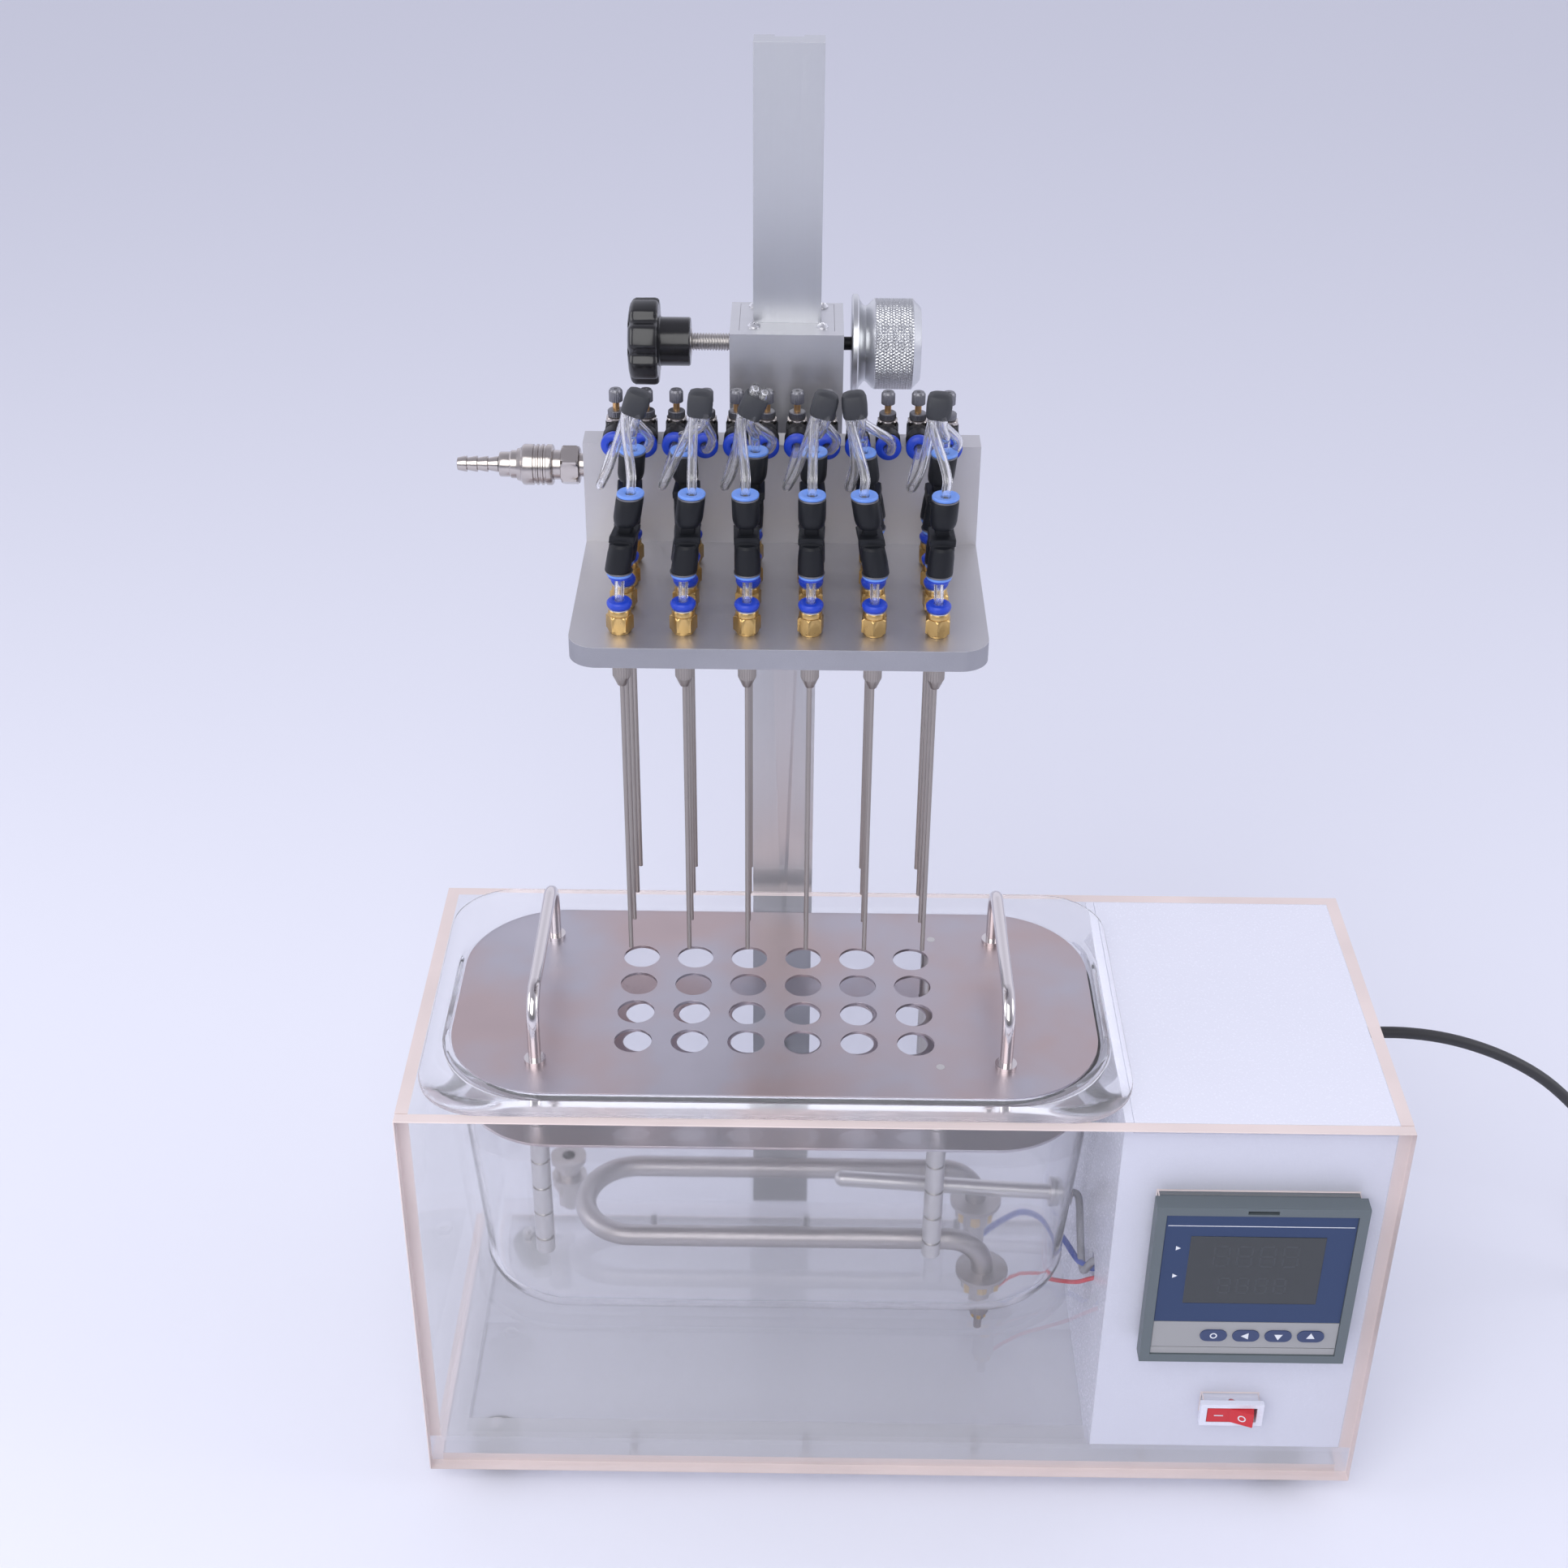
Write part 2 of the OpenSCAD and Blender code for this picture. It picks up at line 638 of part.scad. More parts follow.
// internal leads: the probe's and the heater's, all through the divider's hole
probe_lead = [[91.8, 0, 103.9], [94.2, -1.5, 103.5], [95.6, -7, 101.5], [95.2, -18, 97], [94.4, -32, 93],
    [94.4, -40, 94], [divider_x, -43.5, 97.5], [divider_x + 5.5, -43.5, 98],
    [divider_x + 13.5, -43.5, 98]];
front_lead = [[heater_right, -heater_y, terminal_z], [heater_right + 0.4, -heater_y - 0.2, terminal_z - 5],
    [50, -28, 26.5], [60, -32, 25], [72, -37, 30], [80, -41, 42], [85, -43.5, 58], [89, -45.5, 74],
    [92.5, -46.5, 86], [divider_x, -46.5, 92], [divider_x + 5.5, -46.5, 92], [divider_x + 13.5, -46.5, 91]];
rear_lead = [[heater_right, heater_y, terminal_z], [heater_right + 0.4, heater_y - 0.4, terminal_z - 5],
    [50, 21, 26.5], [60, 8, 24], [70, -12, 27], [79, -28, 38], [86, -37, 55], [91, -40.5, 74],
    [93.8, -41, 86], [divider_x, -41, 91.5], [divider_x + 5.5, -41, 91.5], [divider_x + 13.5, -41, 90]];

module internal_leads() color([0.3, 0.3, 0.34]) place() {
    sweep(smooth(probe_lead, 2), 1.4, 6, [0, 0.2, 1]);
    sweep(smooth(front_lead, 2), 1.3, 6, [0.1, 1, 0]);
    sweep(smooth(rear_lead, 2), 1.3, 6, [1, 0.6, 0]);
}

// ---------- tube rack ----------

module tube_holes() for (x = holes_x, y = holes_y) translate([rack_x + x, y, -cut])
    cylinder(h = 10, d = tube_hole_d);
module rod_spots() for (r = rods) translate([r.x, r.y, 0]) children();

stud_d = 4;

module rack_plate() color([0.66, 0.65, 0.7]) place() translate([0, 0, plate_z]) difference() {
    translate([rack_x, 0, 0]) linear_extrude(plate_t) rounded(plate_w, plate_d, plate_r);
    tube_holes();
    rod_spots() translate([0, 0, -cut]) cylinder(h = 10, d = stud_d);
    translate([handle_right_x, 0, 0]) for (s = [-1, 1]) translate([0, s * handle_y, -cut])
        cylinder(h = 10, d = stud_d);
}

module rack_shelf() color([0.66, 0.65, 0.7]) place() translate([0, 0, shelf_z - plate_t]) difference() {
    translate([rack_x, 0, 0]) linear_extrude(plate_t) rounded(shelf_w, shelf_d, shelf_r);
    tube_holes();
    rod_spots() translate([0, 0, -cut]) cylinder(h = 10, d = rod_d + 0.1);
}

module rack_rods() color([0.7, 0.7, 0.72]) place() rod_spots() {
    difference() {
        translate([0, 0, rod_end_z]) cylinder(h = plate_z - rod_end_z, d = rod_d);
        for (z = [rod_end_z + groove_step / 2:groove_step:shelf_z - 6]) translate([0, 0, z]) difference() {
            cylinder(h = 1.6, d = rod_d + 2);
            translate([0, 0, -cut]) cylinder(h = 4, d = rod_d - 2);
        }
    }
    translate([0, 0, plate_z - eps]) cylinder(h = plate_t + eps, d = stud_d);
}

// bow handle in the y-z plane: legs, two bends and the bar, on round feet
module bow_handle(x) translate([x, 0, plate_z + plate_t]) {
    bar_z = handle_h - handle_d / 2;
    for (s = [0, 180]) rotate([0, 0, s]) {
        translate([0, handle_y, 0]) cylinder(h = bar_z - handle_bend, d = handle_d);
        translate([0, handle_y, 0]) cylinder(h = 2, d = handle_d + 4);
        translate([0, handle_y - handle_bend, bar_z - handle_bend]) rotate([90, 0, 90])
            rotate_extrude(angle = 90) translate([handle_bend, 0]) circle(d = handle_d, $fn = 32);
    }
    translate([0, handle_y - handle_bend, bar_z]) rotate([90, 0, 0])
        cylinder(h = 2 * (handle_y - handle_bend), d = handle_d);
}

module rack_handles() color([0.85, 0.85, 0.87]) place() {
    bow_handle(rod_left_x);
    bow_handle(handle_right_x);
    for (s = [-1, 1]) translate([handle_right_x, s * handle_y, plate_z - 2.5]) {
        cylinder(h = 4.01, d = stud_d);
        cylinder(h = 2.5, d = 8);
    }
}

// ---------- controller ----------

module oval(w, h) {
    square([w - h, h], center = true);
    for (s = [-1, 1]) translate([s * (w - h) / 2, 0]) circle(d = h, $fn = 32);
}

module key_at(i) translate([meter_x + (i - 1.5) * key_pitch + 8, face_y, key_z]) rotate([90, 0, 0])
    children();

module meter_case() color([0.35, 0.38, 0.4]) place() difference() {
    union() {
        box(meter_x - bezel_w / 2, meter_x + bezel_w / 2, meter_y, -case_d / 2,
            meter_z - bezel_w / 2, meter_z + bezel_w / 2);
        box(meter_x - meter_body_w / 2, meter_x + meter_body_w / 2, -case_d / 2 - eps,
            -case_d / 2 + meter_depth, meter_z - meter_body_w / 2, meter_z + meter_body_w / 2);
    }
    box(meter_x - bezel_w / 2 + 4.7, meter_x + bezel_w / 2 - 4.7, meter_y - cut, face_y,
        meter_z - bezel_w / 2 + 4.7, meter_z + bezel_w / 2 - 4.7);
    box(meter_x - 7, meter_x + 7, meter_y - cut, meter_y + 2.5,
        meter_z + bezel_w / 2 - 3.6, meter_z + bezel_w / 2 - 1.6);
    for (i = [0:3]) key_at(i) translate([0, 0, -key_deep]) linear_extrude(key_deep + cut)
        oval(key_w + 2 * key_clear, key_h + 2 * key_clear);
}

module key_form(i) color([0.15, 0.35, 0.75]) place() key_at(i)
    translate([0, 0, -key_deep + key_travel + 0.4])
        linear_extrude(key_deep - key_travel - 0.4 + key_out) oval(key_w, key_h);

module key_set() key_form(0);
module key_left() key_form(1);
module key_down() key_form(2);
module key_up() key_form(3);

module switch_frame() color([0.93, 0.93, 0.95]) place() difference() {
    union() {
        box(switch_x - frame_w / 2, switch_x + frame_w / 2, switch_y, -case_d / 2,
            switch_z - frame_h / 2, switch_z + frame_h / 2);
        box(switch_x - frame_w / 2 + 1.8, switch_x + frame_w / 2 - 1.8, -case_d / 2 - eps,
            -case_d / 2 + 24, switch_z - frame_h / 2 + 1.3, switch_z + frame_h / 2 - 1.3);
        for (x = [-8, 0, 8]) translate([switch_x + x, -case_d / 2 + 23, switch_z])
            translate([-3, 0, -0.4]) cube([6, 9, 0.8]);
    }
    box(switch_x - rocker_w / 2 - rocker_clear, switch_x + rocker_w / 2 + rocker_clear,
        switch_y - cut, switch_y + 15,
        switch_z - rocker_h / 2 - rocker_clear, switch_z + rocker_h / 2 + rocker_clear);
    translate([switch_x, rocker_pivot_y, switch_z])
        cylinder(h = frame_h - 1.6, d = pivot_d + 0.1, center = true);
}

// rocker about its own pivot, even, before it is tipped to one side: a shallow valley in front
module rocker_outline() {
    w = rocker_w / 2 - 0.7;
    polygon([[-w, -6.2], [0, -6.2 + w * tan(rocker_tilt / 2)], [w, -6.2], [w, 1.5], [4, 6], [-4, 6],
        [-w, 1.5]]);
}

module switch_rocker() color([0.8, 0.08, 0.1]) place() translate([switch_x, rocker_pivot_y, switch_z]) {
    rotate([0, 0, -rocker_tilt / 2]) translate([0, 0, -rocker_h / 2])
        linear_extrude(rocker_h) rocker_outline();
    cylinder(h = rocker_h + 2 * (rocker_clear + pivot_l), d = pivot_d, center = true);
}

// ---------- column and rack ----------

module column() color([0.78, 0.78, 0.8]) place() difference() {
    box(col_x - col_w / 2, col_x + col_w / 2, col_y0, col_y1, col_bottom, col_top);
    box(col_x - col_groove_w / 2, col_x + col_groove_w / 2, col_y1 - col_groove_d, col_y1 + cut,
        col_bottom - cut, col_top + cut);
    column_screw_spots() translate([0, 0, wall_t]) cylinder(h = 9, d = 4.1);
}

tooth_half = tooth_p / 4 - backlash / 2;
tooth_up = tooth_m;
tooth_down = tooth_m * 1.25;
// a pinion with so few teeth is undercut, and its straight flanks are eased at the tip and the middle
undercut = 0.65;
flank_relief = 0.95;
tip_relief = 0.9;

// rack teeth along z: each rises to a narrow tip and falls again; a gap faces the pinion's own tooth
module rack_outline() {
    first = ceil((rack_bottom - pinion_h) / tooth_p) + 0.5;
    last = floor((rack_top - pinion_h) / tooth_p) - 0.5;
    tip = tooth_half - tooth_up * tan(20);
    root = tooth_half + tooth_down * tan(20);
    teeth = [for (k = [first:last]) let (z = pinion_h + k * tooth_p)
        each [[rack_line - tooth_down, z - root], [rack_line + tooth_up, z - tip],
            [rack_line + tooth_up, z + tip], [rack_line - tooth_down, z + root]]];
    polygon(concat([[col_y1 - col_groove_d, rack_bottom], [rack_line - tooth_down, rack_bottom]], teeth,
        [[rack_line - tooth_down, rack_top], [col_y1 - col_groove_d, rack_top]]));
}

module lift_rack() color([0.7, 0.68, 0.66]) place() translate([col_x - rack_w / 2, 0, 0])
    rotate([90, 0, 90]) linear_extrude(rack_w) rack_outline();

module pinion_outline() {
    tip = (tooth_half - tooth_up * tan(20)) * tip_relief;
    root = (tooth_half + tooth_down * tan(20)) * undercut;
    circle(pinion_r - tooth_down, $fn = 48);
    for (k = [0:pinion_z - 1]) rotate(k * 360 / pinion_z)
        polygon([[-root, pinion_r - tooth_down - 0.3], [root, pinion_r - tooth_down - 0.3],
            [root, pinion_r - tooth_down], [tooth_half * flank_relief, pinion_r], [tip, pinion_r + tooth_up],
            [-tip, pinion_r + tooth_up], [-tooth_half * flank_relief, pinion_r],
            [-root, pinion_r - tooth_down]]);
}

// ---------- slide block ----------

journal_d = 2 * (pinion_r + tooth_m) + 0.2;
cheek = 9;

module shaft_axis(x) translate([x, pinion_y, pinion_h]) rotate([0, 90, 0]) children();
module clamp_axis(x) translate([x, (col_y0 + col_y1) / 2, clamp_z]) rotate([0, 90, 0]) children();

module guide_spots() for (x = [-14.5, 15.5], y = [87, 112.5]) translate([col_x + x, y, 0]) children();

guide_x0 = block_x0 + 4;
guide_x1 = block_x1 - 4;
guide_y0 = block_y0 + 5;
guide_y1 = block_y1 - 2;
lug_z1 = block_z0 + 30;
lug_half = 20;

module slide_block() color([0.72, 0.71, 0.73]) place() difference() {
    union() {
        box(block_x0, block_x1, block_y0, block_y1, block_z0, block_z1);
        box(col_x - lug_half, col_x + lug_half, mf_y1, block_y0 + eps, block_z0, lug_z1);
    }
    box(col_x - col_w / 2 - channel_clear, col_x + col_w / 2 + channel_clear, col_y0 - channel_clear,
        col_y1 + channel_clear, block_z0 - cut, block_z1 + cut);
    box(col_x - rack_w / 2 - 1, col_x + rack_w / 2 + 1, col_y1, col_y1 + 3, block_z0 - cut, block_z1 + cut);
    for (z = [block_z0 - cut, block_z1 - guide_t]) box(guide_x0, guide_x1, guide_y0, guide_y1,
        z, z + guide_t + cut);
    shaft_axis(col_x - col_w / 2 + 4) cylinder(h = block_x1 - col_x + col_w / 2, d = journal_d + 2 * run_fit);
    shaft_axis(block_x0 + 4) cylinder(h = col_w, d = shaft_d + 2 * run_fit);
    clamp_axis(block_x0 - cut) cylinder(h = 12, d = clamp_screw_d + 2 * run_fit);
}

module guide_plates() color([0.76, 0.76, 0.78]) place() for (z = [block_z0, block_z1 - guide_t])
    difference() {
        box(guide_x0 + 0.1, guide_x1 - 0.1, guide_y0 + 0.1, guide_y1 - 0.1, z, z + guide_t);
        box(col_x - col_w / 2 - guide_fit, col_x + col_w / 2 + guide_fit, col_y0 - guide_fit,
            col_y1 + guide_fit, z - cut, z + guide_t + cut);
        box(col_x - rack_w / 2 - 0.5, col_x + rack_w / 2 + 0.5, col_y1, rack_line + tooth_m + 0.5,
            z - cut, z + guide_t + cut);
        guide_spots() translate([0, 0, z - cut]) cylinder(h = guide_t + 2 * cut, d = 3.2);
    }

// pan head with a cross recess, seated at z = 0 and pointing down
module cross_screw(l) difference() {
    union() {
        translate([0, 0, -l]) cylinder(h = l, d = 3);
        cylinder(h = 1.8, d1 = 5.6, d2 = 4.4);
    }
    for (a = [0, 90]) rotate([0, 0, a]) translate([-1.6, -0.35, 0.6]) cube([3.2, 0.7, 2]);
}

module head_screws() color([0.8, 0.78, 0.75]) place() guide_spots() {
    translate([0, 0, block_z1]) cross_screw(guide_t);
    translate([0, 0, block_z0]) rotate([180, 0, 0]) cross_screw(guide_t);
}

// ---------- knobs ----------

clamp_face_x = -126;
clamp_hub_l = 14.2;

module clamp_knob() color([0.07, 0.07, 0.08]) place() clamp_axis(clamp_face_x) {
    linear_extrude(clamp_head_w) difference() {
        circle(d = clamp_d, $fn = 64);
        for (k = [0:6]) rotate(k * 360 / 7) translate([clamp_d / 2 + 3.4, 0]) circle(d = 10, $fn = 32);
    }
    translate([0, 0, -0.8]) cylinder(h = 0.81, d1 = clamp_d * 0.5, d2 = clamp_d * 0.72);
    translate([0, 0, clamp_head_w - eps]) cylinder(h = clamp_hub_l, d = clamp_hub_d);
    translate([0, 0, clamp_head_w]) cylinder(h = col_x - col_w / 2 - 0.3 - clamp_face_x - clamp_head_w,
        d = clamp_screw_d);
}

flange_x = -27;

module lift_knob() color([0.75, 0.75, 0.77]) place() shaft_axis(flange_x) difference() {
    l = lift_end_x - flange_x;
    rotate_extrude($fn = 96) polygon([[0, 0], [lift_flange_d / 2, 0], [lift_flange_d / 2, 3],
        [lift_drum_d / 2 - 3.7, 3.8], [lift_drum_d / 2 - 3.7, 6.3], [lift_drum_d / 2, 10],
        [lift_drum_d / 2, l - 3.4], [lift_drum_d / 2 - 3.4, l], [0, l]]);
    translate([0, 0, -cut]) cylinder(h = 20 + cut, d = shaft_d);
}

module pinion_shaft() color([0.12, 0.12, 0.13]) place() {
    shaft_axis(block_x0 + 4.3) cylinder(h = flange_x + 20 - block_x0 - 4.3, d = shaft_d);
    shaft_axis(col_x - 4) linear_extrude(8) pinion_outline();
    shaft_axis(block_x1 - cheek + 0.5) cylinder(h = cheek - 1, d = journal_d);
}

// ---------- gas head ----------

module needle_spots() for (x = holes_x, y = holes_y) translate([head_x + x, y, 0]) children();
module union_spots() for (x = holes_x, s = [-1, 1]) translate([head_x + x, s * pitch_y, 0]) children();
module outlet_spots() union_spots() for (s = [-1, 1]) translate([0, s * union_half, 0]) children();
module valve_spots() for (x = valve_x) translate([x, mf_mid, 0]) children();

module manifold() color([0.62, 0.6, 0.64]) place() difference() {
    box(head_x0, head_x1, mf_y0, mf_y1, np_top, mf_top);
    translate([head_x0 - cut, mf_mid, gallery_z]) rotate([0, 90, 0])
        cylinder(h = head_x1 - head_x0 - 8, d = gallery_d);
    translate([head_x0 - cut, mf_mid, gallery_z]) rotate([0, 90, 0]) cylinder(h = 9, d = 10.6);
    valve_spots() translate([0, 0, gallery_z]) cylinder(h = mf_top - gallery_z + cut, d = 5);
}

module needle_plate() color([0.62, 0.6, 0.64]) place() difference() {
    translate([(head_x0 + head_x1) / 2, 0, np_z0]) linear_extrude(np_t) {
        w = head_x1 - head_x0;
        translate([-w / 2, np_y0 + np_r]) square([w, mf_y1 - np_y0 - np_r]);
        translate([-w / 2 + np_r, np_y0]) square([w - 2 * np_r, np_r + eps]);
        for (s = [-1, 1]) translate([s * (w / 2 - np_r), np_y0 + np_r]) circle(np_r, $fn = 64);
    }
    needle_spots() translate([0, 0, np_z0 - cut]) cylinder(h = np_t + 2 * cut, d = 6.2, $fn = 24);
}

module brass_fittings() color([0.78, 0.6, 0.32]) place() needle_spots() difference() {
    union() {
        translate([0, 0, np_top - 4.3]) cylinder(h = 4.31, d = 6, $fn = 24);
        translate([0, 0, np_top]) cylinder(h = 1, d = fit_af - 1, $fn = 24);
        translate([0, 0, np_top + 1]) hex(fit_af, 7.4);
        translate([0, 0, np_top + 8.4]) cylinder(h = 2.4, d = fit_af - 0.6, $fn = 24);
    }
    translate([0, 0, np_top + 3]) cylinder(h = 9, d = tube_d + 0.4, $fn = 24);
}

module needles() color([0.82, 0.82, 0.84]) place() needle_spots() {
    translate([0, 0, np_z0 - 8.5]) cylinder(h = 3, d1 = 4, d2 = 7.8, $fn = 24);
    translate([0, 0, np_z0 - 5.5]) cylinder(h = 5.5, d = 7.8, $fn = 24);
    translate([0, 0, np_z0 - eps]) cylinder(h = 4, d = 5.4, $fn = 24);
    translate([0, 0, np_z0 - 8.5 - needle_l]) cylinder(h = needle_l + cut, d = needle_d, $fn = 16);
}

// collar ring with the tube's hole, from z = 0 up
module ring_at(h, d) rotate_extrude($fn = 24) polygon([[tube_d / 2 + 0.2, 0], [d / 2 - 0.6, 0],
    [d / 2, h * 0.4], [d / 2 - 0.3, h], [tube_d / 2 + 0.2, h]]);

module release_collars() color([0.1, 0.25, 0.8]) place() {
    needle_spots() translate([0, 0, np_top + 11.2]) ring_at(3.6, collar_d - 0.8);
    outlet_spots() translate([0, 0, union_z - 3]) ring_at(3, collar_d - 0.6);
    union_spots() translate([0, 0, union_top]) ring_at(2, collar_d);
    valve_spots() translate([0, -20, outlet_z]) rotate([-90, 0, 0]) ring_at(4.6, collar_d);
}

// Y union: one inlet above, a narrow neck, and two outlets side by side
module tube_unions() color([0.06, 0.06, 0.07]) place() union_spots() difference() {
    union() {
        translate([0, 0, union_cap]) cylinder(h = union_top - union_cap, d = union_d, $fn = 32);
        translate([0, 0, union_cap - 2.5]) cylinder(h = 2.5 + eps, d1 = 7, d2 = union_d, $fn = 32);
        translate([-3.2, -3.2, union_neck]) cube([6.4, 6.4, 5]);
        translate([-3.2, -8.5, union_neck - 2.5]) cube([6.4, 17, 5]);
        for (s = [-1, 1]) translate([0, s * union_half, union_z])
            cylinder(h = union_leg, d = 2 * union_half - 0.1, $fn = 32);
        translate([-4.8, -4, union_z + 3]) cube([9.6, 8, 8]);
    }
    translate([0, 0, union_cap + 2]) cylinder(h = 20, d = tube_d + 0.4, $fn = 24);
    for (s = [-1, 1]) translate([0, s * union_half, union_z - cut])
        cylinder(h = 8, d = tube_d + 0.4, $fn = 24);
}

module valve_bodies() color([0.07, 0.07, 0.08]) place() valve_spots() difference() {
    union() {
        translate([0, 0, mf_top - 6]) cylinder(h = 6.01, d = 4.8, $fn = 24);
        translate([0, 0, mf_top]) cylinder(h = valve_body_h, d = 9.6, $fn = 32);
        translate([-4.4, -8, mf_top]) cube([8.8, 8, valve_body_h]);
        translate([0, -15, outlet_z]) rotate([-90, 0, 0]) cylinder(h = 8, d = outlet_d, $fn = 32);
    }
    translate([0, -16, outlet_z]) rotate([-90, 0, 0]) cylinder(h = 9, d = tube_d + 0.4, $fn = 24);
    translate([0, 0, mf_top + 1]) cylinder(h = 20, d = stem_d + 2 * run_fit, $fn = 24);
}

module lock_nuts() color([0.7, 0.69, 0.68]) place() valve_spots() difference() {
    union() {
        translate([0, 0, nut_z]) hex(valve_af, 2.2);
        translate([0, 0, lock_z]) cylinder(h = lock_h, d = lock_d, $fn = 32);
    }
    translate([0, 0, nut_z - cut]) cylinder(h = 20, d = stem_d + 2 * run_fit, $fn = 24);
}

module valve_screw(i) color([0.3, 0.3, 0.32]) place() translate([valve_x[i - 1], mf_mid, 0]) {
    translate([0, 0, screw_z]) cylinder(h = 5, d = screw_head_d, $fn = 32);
    translate([0, 0, screw_z + 5 - eps])
        cylinder(h = 0.6, d1 = screw_head_d, d2 = screw_head_d - 1.2, $fn = 32);
    translate([0, 0, mf_top + 2]) cylinder(h = screw_z - mf_top - 2 + eps, d = stem_d, $fn = 24);
}

module valve_screw_01() valve_screw(1);
module valve_screw_02() valve_screw(2);
module valve_screw_03() valve_screw(3);
module valve_screw_04() valve_screw(4);
module valve_screw_05() valve_screw(5);
module valve_screw_06() valve_screw(6);
module valve_screw_07() valve_screw(7);
module valve_screw_08() valve_screw(8);
module valve_screw_09() valve_screw(9);
module valve_screw_10() valve_screw(10);
module valve_screw_11() valve_screw(11);
module valve_screw_12() valve_screw(12);

// clear tubes: from the left valve down, up through the sleeve and over to the front union; from the
// right valve up, down through the sleeve and back to the rear union. Heights are above the manifold's
// top, and lean shifts a pair sideways.
sleeve_mid = [6.5, 6.5, 32.7];
lean_from = 14.7;
sleeve_h = 9;
strand = [2, 1.5, 0];
lean = [-2.5, -1, 1, 0, 0.5, 1.5];
low_loop = [[-6.6, 50, 4.2], [-6.6, 38, 4.2], [-8.2, 29, 1.2], [-10.5, 21, -4.3], [-10, 12.5, -2.3],
    [-6.5, 8, 6.7], [-0.5, 5.5, 17.7], [4.5, 5, 27.7], [4.5, 5, 37.7], [5, 0, 46.7], [4.5, -10, 46.7],
    [2.5, -18, 35.7], [0.6, -21.5, 22.7], [0, -22.1, 11.7], [0, -22.1, 2.7]];
high_loop = [[6.6, 50, 4.2], [6.6, 38, 4.2], [8.5, 30, 8.7], [11.5, 25.5, 20.7], [13, 20, 34.7],
    [11.5, 13, 43.7], [8.9, 8.4, 38.2], [8.5, 8, 28.7], [6, 12, 23.2], [2, 19.5, 20.2], [0, 22.1, 12.7],
    [0, 22.1, 2.7]];

function leaned(p, s) = [for (q = p)
    [q.x + s * max(0, min(1, (q.z - lean_from) / 12)), q.y, mf_top + q.z]];

module tubing() color([0.9, 0.92, 0.95, 0.5]) place() {
    for (i = [0:5]) translate([head_x + holes_x[i], 0, 0]) {
        sweep(smooth(leaned(low_loop, lean[i]), 1), tube_d / 2, 8, [1, 0.05, 0]);
        sweep(smooth(leaned(high_loop, lean[i]), 1), tube_d / 2, 8, [1, 0.05, 0]);
        for (s = [-1, 1], k = [-1, 1])
            short_tube(s * pitch_y + k * union_half, s * pitch_y + k * pitch_y / 2);
    }
}

module short_tube(y0, y1) sweep([[0, y0, union_z + 5], [0, y0, union_z - 3],
    [0, (y0 + y1) / 2, (union_z - 3 + np_top + 14.8) / 2], [0, y1, np_top + 14.8], [0, y1, np_top + 4]],
    tube_d / 2, 8, [1, 0, 0]);

module tube_sleeves() color([0.05, 0.05, 0.06]) place() for (i = [0:5])
    translate([head_x + holes_x[i] + lean[i], 0, mf_top] + sleeve_mid)
        rotate([0, 0, atan2(strand.y, strand.x)]) translate([0, 0, -sleeve_h / 2])
            linear_extrude(sleeve_h) difference() {
                oval(2 * norm(strand) + 6.4, 6.4);
                oval(2 * norm(strand) + 5, 5);
            }

// ---------- gas inlet ----------

module inlet_axis(x) translate([x, mf_mid, gallery_z]) rotate([0, -90, 0]) children();

hex_l = 8.4;
neck_l = 2;
sleeve_x0 = neck_l + hex_l + sleeve_travel + 0.3;
stem_r = 4;
body_end = sleeve_x0 + sleeve_l - 2;

module coupler_body() color([0.78, 0.78, 0.8]) place() inlet_axis(head_x0) difference() {
    union() {
        translate([0, 0, -8]) cylinder(h = 8 + neck_l + eps, d = 10.4);
        translate([0, 0, neck_l]) hex(hex_af, hex_l);
        translate([0, 0, neck_l + hex_l - eps]) cylinder(h = body_end - neck_l - hex_l, d = 13);
    }
    translate([0, 0, -10]) cylinder(h = 60, d = 5);
    translate([0, 0, neck_l + hex_l]) cylinder(h = 40, d = 2 * stem_r + 2 * run_fit);
}

module coupler_sleeve() color([0.82, 0.82, 0.84]) place() inlet_axis(head_x0) translate([0, 0, sleeve_x0])
    difference() {
        rotate_extrude($fn = 64) difference() {
            polygon([[13 / 2 + run_fit, 0], [sleeve_d / 2 - 0.8, 0], [sleeve_d / 2, 0.8],
                [sleeve_d / 2, sleeve_l - 3], [sleeve_d / 2 - 2, sleeve_l], [13 / 2 + run_fit, sleeve_l]]);
            for (z = [3, 5.2, 7.4, 9.6]) translate([sleeve_d / 2 - 0.5, z]) square([1, 1.1]);
        }
    }

module hose_barb() color([0.8, 0.8, 0.82]) place() inlet_axis(head_x0) difference() {
    union() {
        translate([0, 0, neck_l + hex_l + 1]) cylinder(h = body_end - neck_l - hex_l, d = 2 * stem_r);
        translate([0, 0, body_end + 0.3]) cylinder(h = 4.7, d = 12.4);
        translate([0, 0, body_end + 5]) cylinder(h = 5, d = 11);
        for (k = [0:barbs - 1]) translate([0, 0, body_end + 10 + k * barb_l / barbs])
            cylinder(h = barb_l / barbs, d1 = barb_d, d2 = barb_d - 1.6);
    }
    translate([0, 0, neck_l + hex_l]) cylinder(h = 60, d = 3.6);
}

// ---------- mains lead ----------

module cord_gland() color([0.06, 0.06, 0.07]) place() translate([in_x1, lead_path[0].y, lead_path[0].z])
    rotate([0, 90, 0]) difference() {
        union() {
            translate([0, 0, -4]) hex(17, 4);
            translate([0, 0, -1]) cylinder(h = wall_t + 2, d = 12);
            translate([0, 0, wall_t]) cylinder(h = 3, d = 18);
            translate([0, 0, wall_t + 3 - eps]) cylinder(h = 12, d1 = 13, d2 = 9);
        }
        translate([0, 0, wall_t]) cylinder(h = 40, d = cord_d + 0.1);
    }

